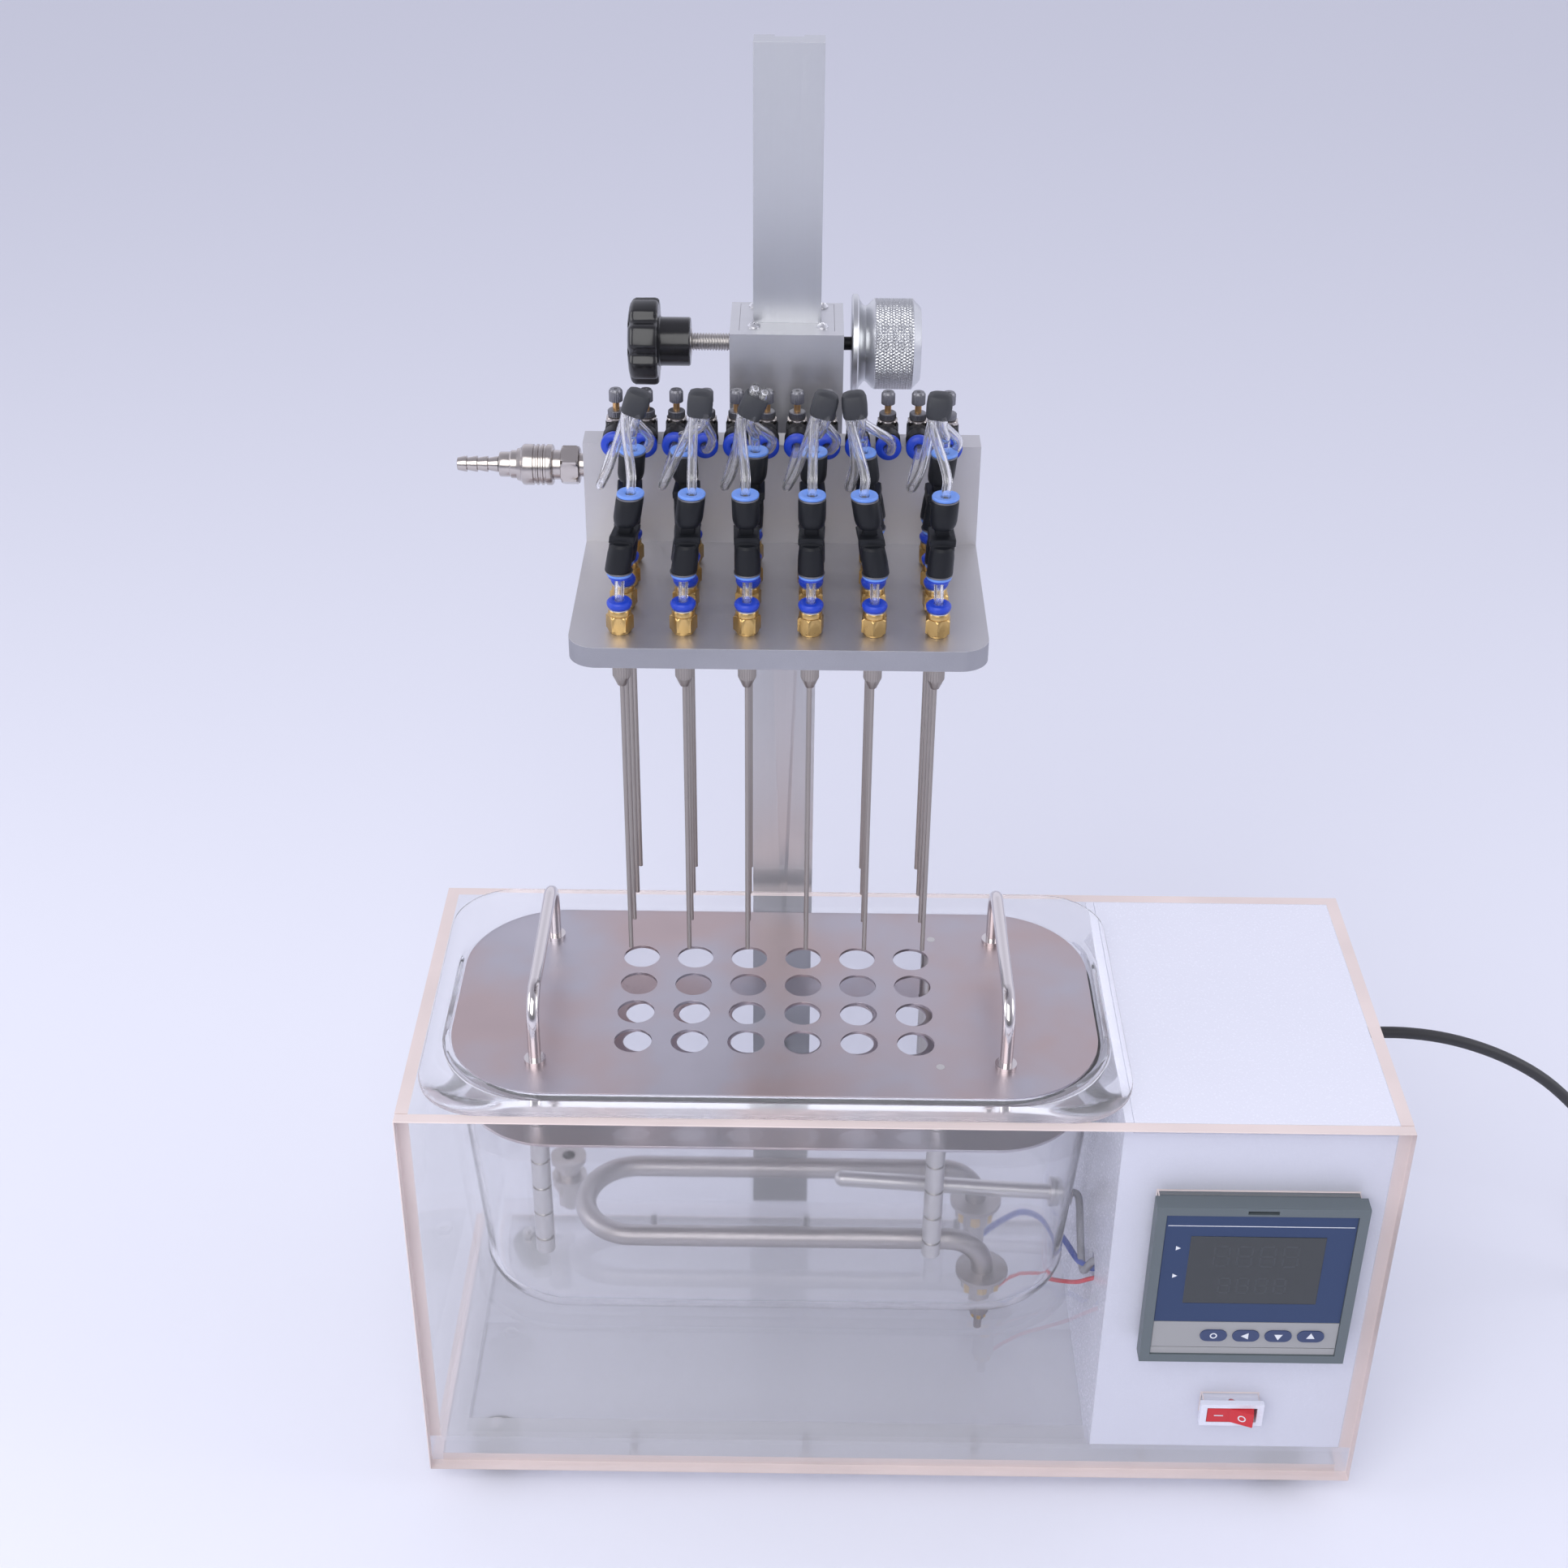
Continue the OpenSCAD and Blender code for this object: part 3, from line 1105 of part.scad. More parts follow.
module cord_lead() color([0.05, 0.05, 0.06]) place() sweep(smooth(lead_path, 2), cord_d / 2, 8, [0, 1, 0]);

coil_turns = 2 * coil_layer_turns + 0.5;
coil_mid = [coil_start.x + cord_d, coil_start.y + coil_outer, coil_start.z];
coil_inner = coil_outer - coil_pitch * coil_layer_turns;

// height of a place on the coil, as a share of one layer: it climbs in the half turn inside
function coil_rise(t) = max(0, min(1, (t - coil_layer_turns) / 0.5));
function coil_radius(t) = t < coil_layer_turns ? coil_outer - coil_pitch * t
    : t > coil_layer_turns + 0.5 ? coil_inner + coil_pitch * (t - coil_layer_turns - 0.5)
    : coil_inner - 1.6 * sin(180 * coil_rise(t));
function coil_point(t) = coil_mid + [coil_radius(t) * sin(360 * t), -coil_radius(t) * cos(360 * t),
    coil_pitch * coil_rise(t)];
coil_end = coil_point(coil_turns);
coil_path = concat([coil_start], [for (k = [0:coil_turns * coil_rings]) coil_point(k / coil_rings)],
    [coil_end + [0, plug_gap / 2, 0], coil_end + [0, plug_gap, 0]]);
coil_gap = min([for (i = [0:len(coil_path) - 1], j = [i + 12:1:len(coil_path) - 1])
    norm(coil_path[i] - coil_path[j])]) - cord_d;
function path_length(p, i = 0) = i > len(p) - 2 ? 0 : norm(p[i + 1] - p[i]) + path_length(p, i + 1);
echo(coil_gap = coil_gap, lead_length = path_length(lead_path), coil_length = path_length(coil_path));

module cord_coil() color([0.05, 0.05, 0.06]) place() sweep(coil_path, cord_d / 2, 6, [0, 0, 1]);

plug_end = coil_end + [0, plug_gap, 0];
plug_l = 38;
plug_w = 34;

// plug lying on the bench: grip, tapered collar towards the cord, and three pins
module cord_plug() color([0.05, 0.05, 0.06]) place() translate(plug_end) rotate([-90, 0, 0]) {
    half = plug_end.z - bench_z;
    cylinder(h = 16, d1 = 8.5, d2 = 12);
    translate([-plug_w / 2, -half, 14]) cube([plug_w, 2 * half, plug_l - 14]);
    for (x = [-6.4, 6.4]) translate([x - 3, 1, plug_l - eps]) cube([6, 1.5, 15]);
    translate([-0.75, -6, plug_l - eps]) cube([1.5, 6, 18]);
}

// ---------- output ----------

front_panel();
case_walls();
base_panel();
top_panel();
control_liner();
case_screws();
feet();
bath_pan();
heater();
drain_fitting();
temperature_probe();
internal_leads();
meter_case();
key_set();
key_left();
key_down();
key_up();
switch_frame();
switch_rocker();
column();
lift_rack();
cord_gland();
cord_lead();
cord_coil();
cord_plug();
rack_plate();
rack_shelf();
rack_rods();
rack_handles();
slide_block();
guide_plates();
head_screws();
manifold();
needle_plate();
valve_bodies();
lock_nuts();
tube_unions();
release_collars();
tubing();
tube_sleeves();
brass_fittings();
needles();
coupler_body();
coupler_sleeve();
hose_barb();
clamp_knob();
lift_knob();
pinion_shaft();
valve_screw_01();
valve_screw_02();
valve_screw_03();
valve_screw_04();
valve_screw_05();
valve_screw_06();
valve_screw_07();
valve_screw_08();
valve_screw_09();
valve_screw_10();
valve_screw_11();
valve_screw_12();
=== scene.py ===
# %% [markdown]
# A nitrogen sample evaporator dries liquid samples in test tubes: a clear water bath keeps the tubes
# warm, and twelve valves send nitrogen through tubes and needles onto the samples. The whole gas head
# rides up and down a column on a rack and pinion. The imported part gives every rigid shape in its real
# place, and this lesson dresses it: finishes for each node, and finer surfaces where the eye goes.

# %% Load the frame
import bmesh
import bpy
import json
import math
import numpy as np
from mathutils import Matrix, Vector


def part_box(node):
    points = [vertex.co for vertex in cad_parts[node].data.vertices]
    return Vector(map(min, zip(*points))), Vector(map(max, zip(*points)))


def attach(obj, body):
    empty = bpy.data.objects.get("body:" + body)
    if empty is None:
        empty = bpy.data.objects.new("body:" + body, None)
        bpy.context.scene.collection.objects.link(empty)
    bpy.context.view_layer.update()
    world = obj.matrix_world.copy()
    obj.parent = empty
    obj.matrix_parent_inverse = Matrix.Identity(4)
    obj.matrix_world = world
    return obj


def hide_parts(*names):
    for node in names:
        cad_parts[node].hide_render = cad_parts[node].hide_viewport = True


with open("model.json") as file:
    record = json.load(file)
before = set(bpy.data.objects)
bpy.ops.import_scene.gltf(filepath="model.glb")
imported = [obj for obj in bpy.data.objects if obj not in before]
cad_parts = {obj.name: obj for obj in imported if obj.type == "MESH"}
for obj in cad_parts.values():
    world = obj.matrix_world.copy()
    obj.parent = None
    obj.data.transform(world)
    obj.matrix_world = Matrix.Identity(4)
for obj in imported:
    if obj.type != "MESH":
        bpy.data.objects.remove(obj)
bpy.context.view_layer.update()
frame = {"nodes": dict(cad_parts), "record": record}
nodes = frame["nodes"]

# %% [markdown]
# Sizes inside the object are easiest to think of from the middle of the case's underside, in
# millimetres, because the case is square to everything else. Two helpers carry such sizes to the row
# frame in metres: the case is shifted back a little and stands on its feet.

# %% The case's own frame
MM = 0.001
CASE_D, CASE_W, CASE_H = 184.0, 454.0, 222.4
walls_low, walls_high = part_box("case_walls")
shift = np.array([0.0, walls_high.y - CASE_D / 2 * MM, walls_low.z])


def at(x, y, z):
    """A point given in millimetres in the case's frame, as metres in the row frame."""
    return np.array([x, y, z], float) * MM + shift


def at_all(points):
    """The same for an array whose last axis holds x, y and z."""
    return np.asarray(points, float) * MM + shift


print("case shift", shift.round(5))

# %% [markdown]
# The camera stands where the photographer stood. Its place, its tilt of about 32 degrees and its lens
# were solved from known edges of the bath rim, the meter and the column. The photograph is square, so
# the lens follows from a 36 mm wide sensor. Setting the matrix from the looking direction is exact,
# where aiming with a constraint would lose the small roll.

# %% Camera
PHOTO_SIDE = 1932
FOCAL_PX = 2782.4
pitch, roll, yaw = math.radians(31.699), math.radians(0.472), math.radians(-0.359)
look = Vector((math.sin(yaw) * math.cos(pitch), math.cos(yaw) * math.cos(pitch), -math.sin(pitch)))
level = Vector((math.cos(yaw), -math.sin(yaw), 0.0))
upright = level.cross(look)
right = level * math.cos(roll) + upright * math.sin(roll)
up = upright * math.cos(roll) - level * math.sin(roll)
camera_data = bpy.data.cameras.new("photo_camera")
camera_data.sensor_width = 36.0
camera_data.sensor_fit = "HORIZONTAL"
camera_data.lens = FOCAL_PX * 36.0 / PHOTO_SIDE
camera_data.clip_start, camera_data.clip_end = 0.01, 20.0
camera = bpy.data.objects.new("photo_camera", camera_data)
bpy.context.scene.collection.objects.link(camera)
place = Vector(at(-49.69, -863.04, 877.03))
camera.matrix_world = Matrix(((right.x, up.x, -look.x, place.x), (right.y, up.y, -look.y, place.y),
                              (right.z, up.z, -look.z, place.z), (0, 0, 0, 1)))
bpy.context.scene.camera = camera
print("lens", round(camera_data.lens, 2), "mm at", [round(v, 3) for v in place])

# %% [markdown]
# Most new pieces are surfaces worked out as whole arrays: a ring of points is carried along a line, or
# a profile is turned about an axis. One helper turns a grid of points into a mesh, with quads between
# neighbours, and closes it round when asked.

# %% Grid surfaces
def new_mesh(name, vertices, faces, material=None, smooth=True):
    """Puts points and faces into a mesh object at the origin and gives it its material."""
    mesh = bpy.data.meshes.new(name)
    mesh.from_pydata([tuple(v) for v in np.asarray(vertices).reshape(-1, 3)], [], [tuple(f) for f in faces])
    mesh.polygons.foreach_set("use_smooth", [smooth] * len(mesh.polygons))
    mesh.update()
    piece = bpy.data.objects.new(name, mesh)
    bpy.context.scene.collection.objects.link(piece)
    if material is not None:
        mesh.materials.append(material)
    return piece


def grid_faces(rows, cols, wrap=True, first=0):
    """Quads of a grid: row i, column j joins (i, j), (i, j+1), (i+1, j+1), (i+1, j); wrap closes columns."""
    i, j = np.meshgrid(np.arange(rows - 1), np.arange(cols if wrap else cols - 1), indexing="ij")
    k = (j + 1) % cols
    quads = np.stack([i * cols + j, i * cols + k, (i + 1) * cols + k, (i + 1) * cols + j], axis=-1)
    return (quads.reshape(-1, 4) + first).tolist()


def curve_through(points, steps):
    """Catmull-Rom curve: on each span, 0.5 * (2b + (c-a)t + (2a-5b+4c-d)t^2 + (3b-a-3c+d)t^3)."""
    p = np.asarray(points, float)
    ends = np.vstack([p[:1], p, p[-1:]])
    a, b, c, d = ends[:-3], ends[1:-2], ends[2:-1], ends[3:]
    t = np.linspace(0, 1, steps, endpoint=False)[:, None, None]
    spans = 0.5 * (2 * b + (c - a) * t + (2 * a - 5 * b + 4 * c - d) * t ** 2 + (3 * b - a - 3 * c + d) * t ** 3)
    return np.vstack([spans.transpose(1, 0, 2).reshape(-1, 3), p[-1:]])


def frames_along(path, ref):
    """Two unit vectors square to the path at each point: u = ref x tangent, v = tangent x u."""
    tangent = np.gradient(path, axis=0)
    tangent /= np.linalg.norm(tangent, axis=1, keepdims=True)
    u = np.cross(np.asarray(ref, float), tangent)
    u /= np.linalg.norm(u, axis=1, keepdims=True)
    return tangent, u, np.cross(tangent, u)


def tube_rings(path, radius, sides, ref):
    """Rings round a path: p + r (cos a * u + sin a * v), with one radius for all or one each."""
    _, u, v = frames_along(path, ref)
    angle = np.linspace(0, 2 * math.pi, sides, endpoint=False)
    radius = np.broadcast_to(np.asarray(radius, float), (len(path),))[:, None, None]
    ring = np.cos(angle)[None, :, None] * u[:, None] + np.sin(angle)[None, :, None] * v[:, None]
    return path[:, None] + radius * ring


def rod(name, path, radius, sides, ref, material):
    """A closed round rod along a path: rings, with a fan of faces on each end."""
    rings = tube_rings(path, radius, sides, ref)
    rows = len(path)
    lids = [list(range(sides))[::-1], [(rows - 1) * sides + k for k in range(sides)]]
    return new_mesh(name, rings, grid_faces(rows, sides) + lids, material)


# %% [markdown]
# Several finishes share small effects. A drawn or brushed metal has long faint streaks, and a moulded
# part has a fine grain and slow changes of tone. Each effect is a node group, built once: it takes a
# colour and gives back a slightly varied colour, a roughness and a height for the bump.

# %% Shared effects
def add(tree, kind, operation=None, values=()):
    """A new node in a tree, with its operation and the (socket, value) pairs that don't get a link."""
    made = tree.nodes.new(kind)
    if operation is not None:
        made.operation = operation
    for socket, value in values:
        made.inputs[socket].default_value = value
    return made


def effect_group(name, build):
    """A shader node group with inputs Tone, Amount, Rough, Scale and outputs Colour, Roughness, Height."""
    group = bpy.data.node_groups.new(name, "ShaderNodeTree")
    colour, number = "NodeSocketColor", "NodeSocketFloat"
    for way, sockets in (("INPUT", (("Tone", colour), ("Amount", number), ("Rough", number), ("Scale", number))),
                         ("OUTPUT", (("Colour", colour), ("Roughness", number), ("Height", number)))):
        for label, kind in sockets:
            group.interface.new_socket(label, in_out=way, socket_type=kind)
    build(group, add(group, "NodeGroupInput"), add(group, "NodeGroupOutput"))
    return group


def varied(group, given, result, fine, coarse):
    """Colour = tone darkened by Amount * (noise - 0.5); roughness moves with the fine noise."""
    link = group.links.new
    shade = add(group, "ShaderNodeMath", "MULTIPLY_ADD", [(2, 1.0)])
    half = add(group, "ShaderNodeMath", "MULTIPLY_ADD", [(1, -0.5)])
    mix = add(group, "ShaderNodeVectorMath", "SCALE")
    rough = add(group, "ShaderNodeMath", "MULTIPLY_ADD", [(1, 0.12)])
    link(coarse, shade.inputs[0])
    link(given.outputs["Amount"], shade.inputs[1])
    link(given.outputs["Amount"], half.inputs[0])
    link(shade.outputs[0], half.inputs[2])
    link(given.outputs["Tone"], mix.inputs[0])
    link(half.outputs[0], mix.inputs["Scale"])
    link(mix.outputs[0], result.inputs["Colour"])
    link(fine, rough.inputs[0])
    link(given.outputs["Rough"], rough.inputs[2])
    link(rough.outputs[0], result.inputs["Roughness"])
    link(fine, result.inputs["Height"])


def noises(group, given, where, detail, slow_scale, slow_detail=2.0):
    """A fine noise at the group's Scale and a slow one, both read at the same place."""
    fine = add(group, "ShaderNodeTexNoise", values=[("Detail", detail)])
    slow = add(group, "ShaderNodeTexNoise", values=[("Scale", slow_scale), ("Detail", slow_detail)])
    group.links.new(where, fine.inputs["Vector"])
    group.links.new(given.outputs["Scale"], fine.inputs["Scale"])
    group.links.new(where, slow.inputs["Vector"])
    return fine.outputs[0], slow.outputs[0]


def streaks(group, given, result, along=(0.02, 1.0, 1.0)):
    """Brushing: noise read on coordinates squeezed along one direction, so that it draws into lines."""
    where = add(group, "ShaderNodeTexCoord")
    squeeze = add(group, "ShaderNodeMapping", values=[("Scale", along)])
    group.links.new(where.outputs["Object"], squeeze.inputs["Vector"])
    varied(group, given, result, *noises(group, given, squeeze.outputs[0], 3.0, 14.0))


def grain(group, given, result):
    """Moulded or blasted grain: the same noise in all directions."""
    where = add(group, "ShaderNodeTexCoord").outputs["Object"]
    varied(group, given, result, *noises(group, given, where, 2.0, 22.0))


def clouds(group, given, result):
    """Stained rolled steel: fine grain, and slow clouds that lean from a pinkish to a bluish tone."""
    where = add(group, "ShaderNodeTexCoord").outputs["Object"]
    fine, slow = noises(group, given, where, 2.0, 16.0, 3.0)
    hues = add(group, "ShaderNodeValToRGB")
    low, high = hues.color_ramp.elements
    low.position, low.color = 0.38, (1.08, 0.95, 0.93, 1)
    high.position, high.color = 0.62, (0.96, 1.0, 1.08, 1)
    group.links.new(slow, hues.inputs[0])
    varied(group, given, result, fine, slow)
    stain = add(group, "ShaderNodeVectorMath", "MULTIPLY")
    group.links.new(result.inputs["Colour"].links[0].from_socket, stain.inputs[0])
    group.links.new(hues.outputs[0], stain.inputs[1])
    group.links.new(stain.outputs[0], result.inputs["Colour"])


brushed_x = effect_group("brushed_along_x", streaks)
brushed_z = effect_group("brushed_along_z", lambda g, i, o: streaks(g, i, o, (1.0, 1.0, 0.02)))
moulded = effect_group("moulded_grain", grain)
clouded = effect_group("stained_clouds", clouds)

# %% [markdown]
# A finish is a Principled shader fed by one of those groups. Constant values, such as the metallic
# share, are set on the shader itself, and the group only moves colour, roughness and bump.

# %% Finishes from an effect
def finish(name, tone, rough, group, amount=0.12, scale=900.0, bump=0.15, depth=0.0002, **fixed):
    """A material: Principled shader with its colour, roughness and bump from an effect group."""
    material = bpy.data.materials.new(name)
    material.use_nodes = True
    tree = material.node_tree
    shader = tree.nodes["Principled BSDF"]
    for socket, value in fixed.items():
        shader.inputs[socket.replace("_", " ")].default_value = value
    effect = add(tree, "ShaderNodeGroup")
    effect.node_tree = group
    for socket, value in (("Tone", (*tone, 1.0)), ("Amount", amount), ("Rough", rough), ("Scale", scale)):
        effect.inputs[socket].default_value = value
    height = add(tree, "ShaderNodeBump", values=[("Strength", bump), ("Distance", depth)])
    for source, sink in ((effect.outputs["Colour"], shader.inputs["Base Color"]),
                         (effect.outputs["Roughness"], shader.inputs["Roughness"]),
                         (effect.outputs["Height"], height.inputs["Height"]),
                         (height.outputs[0], shader.inputs["Normal"])):
        tree.links.new(source, sink)
    return material


def clear_parts(name, tone, rough, ior, milk, shade):
    """What both clear plastics share: a Principled shader that bends light, a plain transparent one and
    the mix that leads to the output. Milk is the share that scatters as white plastic does."""
    material = bpy.data.materials.new(name)
    material.use_nodes = True
    tree = material.node_tree
    shader = tree.nodes["Principled BSDF"]
    for socket, value in (("Base Color", (*tone, 1.0)), ("Roughness", rough), ("IOR", ior),
                          ("Transmission Weight", 1.0 - milk)):
        shader.inputs[socket].default_value = value
    through = add(tree, "ShaderNodeBsdfTransparent", values=[(0, (*[shade * c for c in tone], 1.0))])
    mix = add(tree, "ShaderNodeMixShader")
    tree.links.new(mix.outputs[0], tree.nodes["Material Output"].inputs["Surface"])
    return material, tree, shader, through, mix


def clear(name, tone, rough=0.03, ior=1.49, bend=(0.06, 0.9), milk=0.0, shade=0.97):
    """Clear sheet: light goes straight on, apart from a share bend[0] (face on) to bend[1] (at a glancing
    angle) that is reflected and bent. The back of a face only lets light through."""
    material, tree, shader, through, mix = clear_parts(name, tone, rough, ior, milk, shade)
    glance = add(tree, "ShaderNodeLayerWeight", values=[("Blend", 0.3)])
    share = add(tree, "ShaderNodeMapRange", values=[("To Min", bend[0]), ("To Max", bend[1])])
    side = add(tree, "ShaderNodeNewGeometry")
    front = add(tree, "ShaderNodeMath", "SUBTRACT", [(0, 1.0)])
    use = add(tree, "ShaderNodeMath", "MULTIPLY")
    for source, sink in ((glance.outputs["Facing"], share.inputs["Value"]),
                         (side.outputs["Backfacing"], front.inputs[1]), (share.outputs[0], use.inputs[0]),
                         (front.outputs[0], use.inputs[1]), (use.outputs[0], mix.inputs[0]),
                         (through.outputs[0], mix.inputs[1]), (shader.outputs[0], mix.inputs[2])):
        tree.links.new(source, sink)
    return material


def cast_clear(name, tone, rough, ior, milk, shade):
    """Moulded clear plastic, bent light and all; shadow rays pass, so that what is inside stays lit."""
    material, tree, shader, through, mix = clear_parts(name, tone, rough, ior, milk, shade)
    rays = add(tree, "ShaderNodeLightPath")
    tree.links.new(rays.outputs["Is Shadow Ray"], mix.inputs[0])
    tree.links.new(shader.outputs[0], mix.inputs[1])
    tree.links.new(through.outputs[0], mix.inputs[2])
    return material


M = {
    "acrylic": clear("clear_acrylic", (0.985, 0.985, 0.99), bend=(0.04, 0.7), milk=0.3),
    # The base is milky white so that the floor seen inside the case reads light where the pan and rack shade it:
    # painted light.
    "base": clear("milky_base_painted_light", (0.97, 0.97, 0.985), bend=(0.35, 0.8), milk=0.75),
    # Milky white for the rails: on their front faces it is a painted reflection of light caught inside the
    # polished bars.
    "painted_rail_light": clear("milky_rail_painted_reflection", (0.9, 0.9, 0.95), rough=0.3, bend=(0.5, 0.9), milk=0.7),
    "pan": cast_clear("clear_polycarbonate", (0.97, 0.97, 0.985), 0.06, 1.22, 0.05, 0.92),
    "tubing": cast_clear("clear_tubing", (0.97, 0.97, 0.98), 0.02, 1.42, 0.03, 0.95),
    "white": finish("white_acrylic", (0.75, 0.76, 0.86), 0.2, moulded, amount=0.03, bump=0.02),
    "satin_z": finish("satin_bar", (0.56, 0.57, 0.6), 0.36, brushed_z, Metallic=1.0),
    "satin": finish("machined_aluminium", (0.62, 0.62, 0.64), 0.36, brushed_x, Metallic=1.0),
    "plate": finish("blasted_aluminium_plate", (0.6, 0.59, 0.61), 0.44, moulded, scale=2200.0, Metallic=1.0),
    "milled": finish("milled_edge", (0.36, 0.36, 0.39), 0.42, moulded, amount=0.35, scale=1600.0,
                     bump=0.4, Metallic=1.0),
    "rack_metal": finish("rack_plate_steel", (0.5, 0.46, 0.47), 0.3, clouded, amount=0.3, scale=1500.0,
                         Metallic=1.0),
    "chrome": finish("bright_chrome", (0.66, 0.62, 0.62), 0.06, moulded, amount=0.04, bump=0.01, Metallic=1.0),
    "nickel": finish("nickel_plate", (0.5, 0.46, 0.44), 0.16, moulded, amount=0.08, bump=0.03, Metallic=1.0),
    "steel": finish("stainless_steel", (0.6, 0.58, 0.57), 0.26, moulded, amount=0.15, bump=0.05, Metallic=1.0),
    "brass": finish("turned_brass", (0.62, 0.42, 0.17), 0.24, moulded, amount=0.15, bump=0.04, Metallic=1.0),
    "black_nylon": finish("black_nylon", (0.006, 0.007, 0.01), 0.4, moulded, amount=0.3, scale=2500.0,
                          Specular_IOR_Level=0.3),
    "bakelite": finish("black_bakelite", (0.012, 0.012, 0.014), 0.14, moulded, amount=0.2, bump=0.03),
    "rubber": finish("black_rubber", (0.02, 0.02, 0.022), 0.6, moulded, amount=0.3, scale=1800.0),
    "blue": finish("blue_release_collar", (0.01, 0.05, 0.5), 0.3, moulded, amount=0.1, bump=0.04),
    "pale_blue": finish("pale_blue_collar", (0.13, 0.27, 0.72), 0.35, moulded, amount=0.08, bump=0.04),
    "dark_metal": finish("dark_nickel", (0.2, 0.2, 0.22), 0.32, moulded, amount=0.2, Metallic=0.9),
    "red": finish("red_rocker", (0.6, 0.02, 0.03), 0.25, moulded, amount=0.06, bump=0.02),
    "housing": finish("meter_housing", (0.115, 0.14, 0.155), 0.42, moulded, amount=0.08, scale=2500.0),
    "key": finish("blue_key", (0.035, 0.055, 0.14), 0.35, moulded, amount=0.06),
    "heater": finish("heater_sheath", (0.4, 0.37, 0.37), 0.36, moulded, amount=0.3, Metallic=1.0),
    "lead": finish("lead_sheath", (0.03, 0.03, 0.034), 0.45, moulded, amount=0.2, scale=1500.0),
    "grey_lead": finish("grey_lead", (0.3, 0.3, 0.33), 0.5, moulded, amount=0.1),
    "knurled": finish("knob_aluminium", (0.6, 0.61, 0.63), 0.28, moulded, amount=0.1, Metallic=1.0),
    "sawn": finish("sawn_acrylic_edge", (0.76, 0.65, 0.63), 0.45, moulded, amount=0.25, scale=700.0),
    "stem_brass": finish("valve_stem_brass", (0.6, 0.36, 0.16), 0.3, moulded, amount=0.2, Metallic=1.0),
    "needle": finish("needle_steel", (0.33, 0.3, 0.28), 0.26, moulded, amount=0.2, Metallic=1.0),
    "bright_steel": finish("bright_screw_steel", (0.75, 0.75, 0.77), 0.18, moulded, amount=0.1, Metallic=1.0),
    "sleeve": finish("heat_shrink_sleeve", (0.03, 0.032, 0.038), 0.5, moulded, amount=0.25, scale=1500.0),
    "red_lead": finish("red_lead", (0.62, 0.03, 0.05), 0.4, moulded, amount=0.1),
    "blue_lead": finish("blue_lead", (0.03, 0.08, 0.45), 0.4, moulded, amount=0.1),
    "meter_blue": finish("meter_blue_face", (0.018, 0.042, 0.12), 0.45, moulded, amount=0.06, scale=3000.0),
    "meter_silver": finish("meter_silver_print", (0.34, 0.34, 0.35), 0.4, moulded, amount=0.06, scale=3000.0),
    "window": finish("dark_window", (0.04, 0.045, 0.05), 0.16, moulded, amount=0.1, bump=0.01),
    "unlit": finish("unlit_segments", (0.046, 0.052, 0.06), 0.3, moulded, amount=0.1, bump=0.01),
    "print_white": finish("white_print", (0.75, 0.77, 0.82), 0.4, moulded, amount=0.04),
}

# %% Finishes on the nodes
wearing = {
    "acrylic": ["front_panel", "case_walls", "base_panel"],
    "white": ["top_panel", "control_liner", "switch_frame"],
    "pan": ["bath_pan"], "heater": ["heater"], "brass": ["brass_fittings"],
    "steel": ["case_screws", "temperature_probe", "lift_rack", "rack_rods", "head_screws", "needles"],
    "rubber": ["feet", "tube_sleeves"], "grey_lead": ["internal_leads"], "housing": ["meter_case"],
    "key": ["key_set", "key_left", "key_down", "key_up"], "red": ["switch_rocker"],
    "satin_z": ["column"], "satin": ["slide_block", "guide_plates"],
    "black_nylon": ["cord_gland", "cord_plug", "valve_bodies", "tube_unions", "pinion_shaft"],
    "lead": ["cord_lead", "cord_coil"], "rack_metal": ["rack_plate", "rack_shelf"],
    "chrome": ["rack_handles", "coupler_sleeve"], "plate": ["manifold", "needle_plate"],
    "nickel": ["lock_nuts", "coupler_body", "hose_barb", "drain_fitting"], "blue": ["release_collars"],
    "tubing": ["tubing"], "bakelite": ["clamp_knob"], "knurled": ["lift_knob"],
    "dark_metal": [f"valve_screw_{i:02d}" for i in range(1, 13)],
}
for look_name, names in wearing.items():
    for node_name in names:
        mesh = nodes[node_name].data
        mesh.materials.clear()
        mesh.materials.append(M[look_name])
print("dressed", sum(len(v) for v in wearing.values()), "of", len(nodes))

# %% [markdown]
# The mains lead leaves the right wall level, bends down under its own weight to the bench and, outside
# the picture, is wound into a small coil for storage. Its length is that of a usual 1.5 m lead. The
# lead is one rod through listed points, and the coil follows a spiral that winds inwards, climbs
# a layer in half a turn and winds out again on top.

# %% Mains lead
CORD_D = 6.0
lead_route = [(227, 55, 165), (243, 55, 165), (262, 55, 165), (281, 55, 162.5), (300, 55, 157),
              (320, 55, 148), (340, 55, 135), (359, 55, 117), (375, 56, 97), (387, 57, 74), (395, 58, 50),
              (402, 59, 26), (412, 60, 6), (427, 60, -6), (444, 60, -10.5), (454, 60, -10.5)]
COIL_OUTER, COIL_STEP, LAYER_TURNS, PLUG_GAP = 41.5, 6.6, 2.375, 26.0


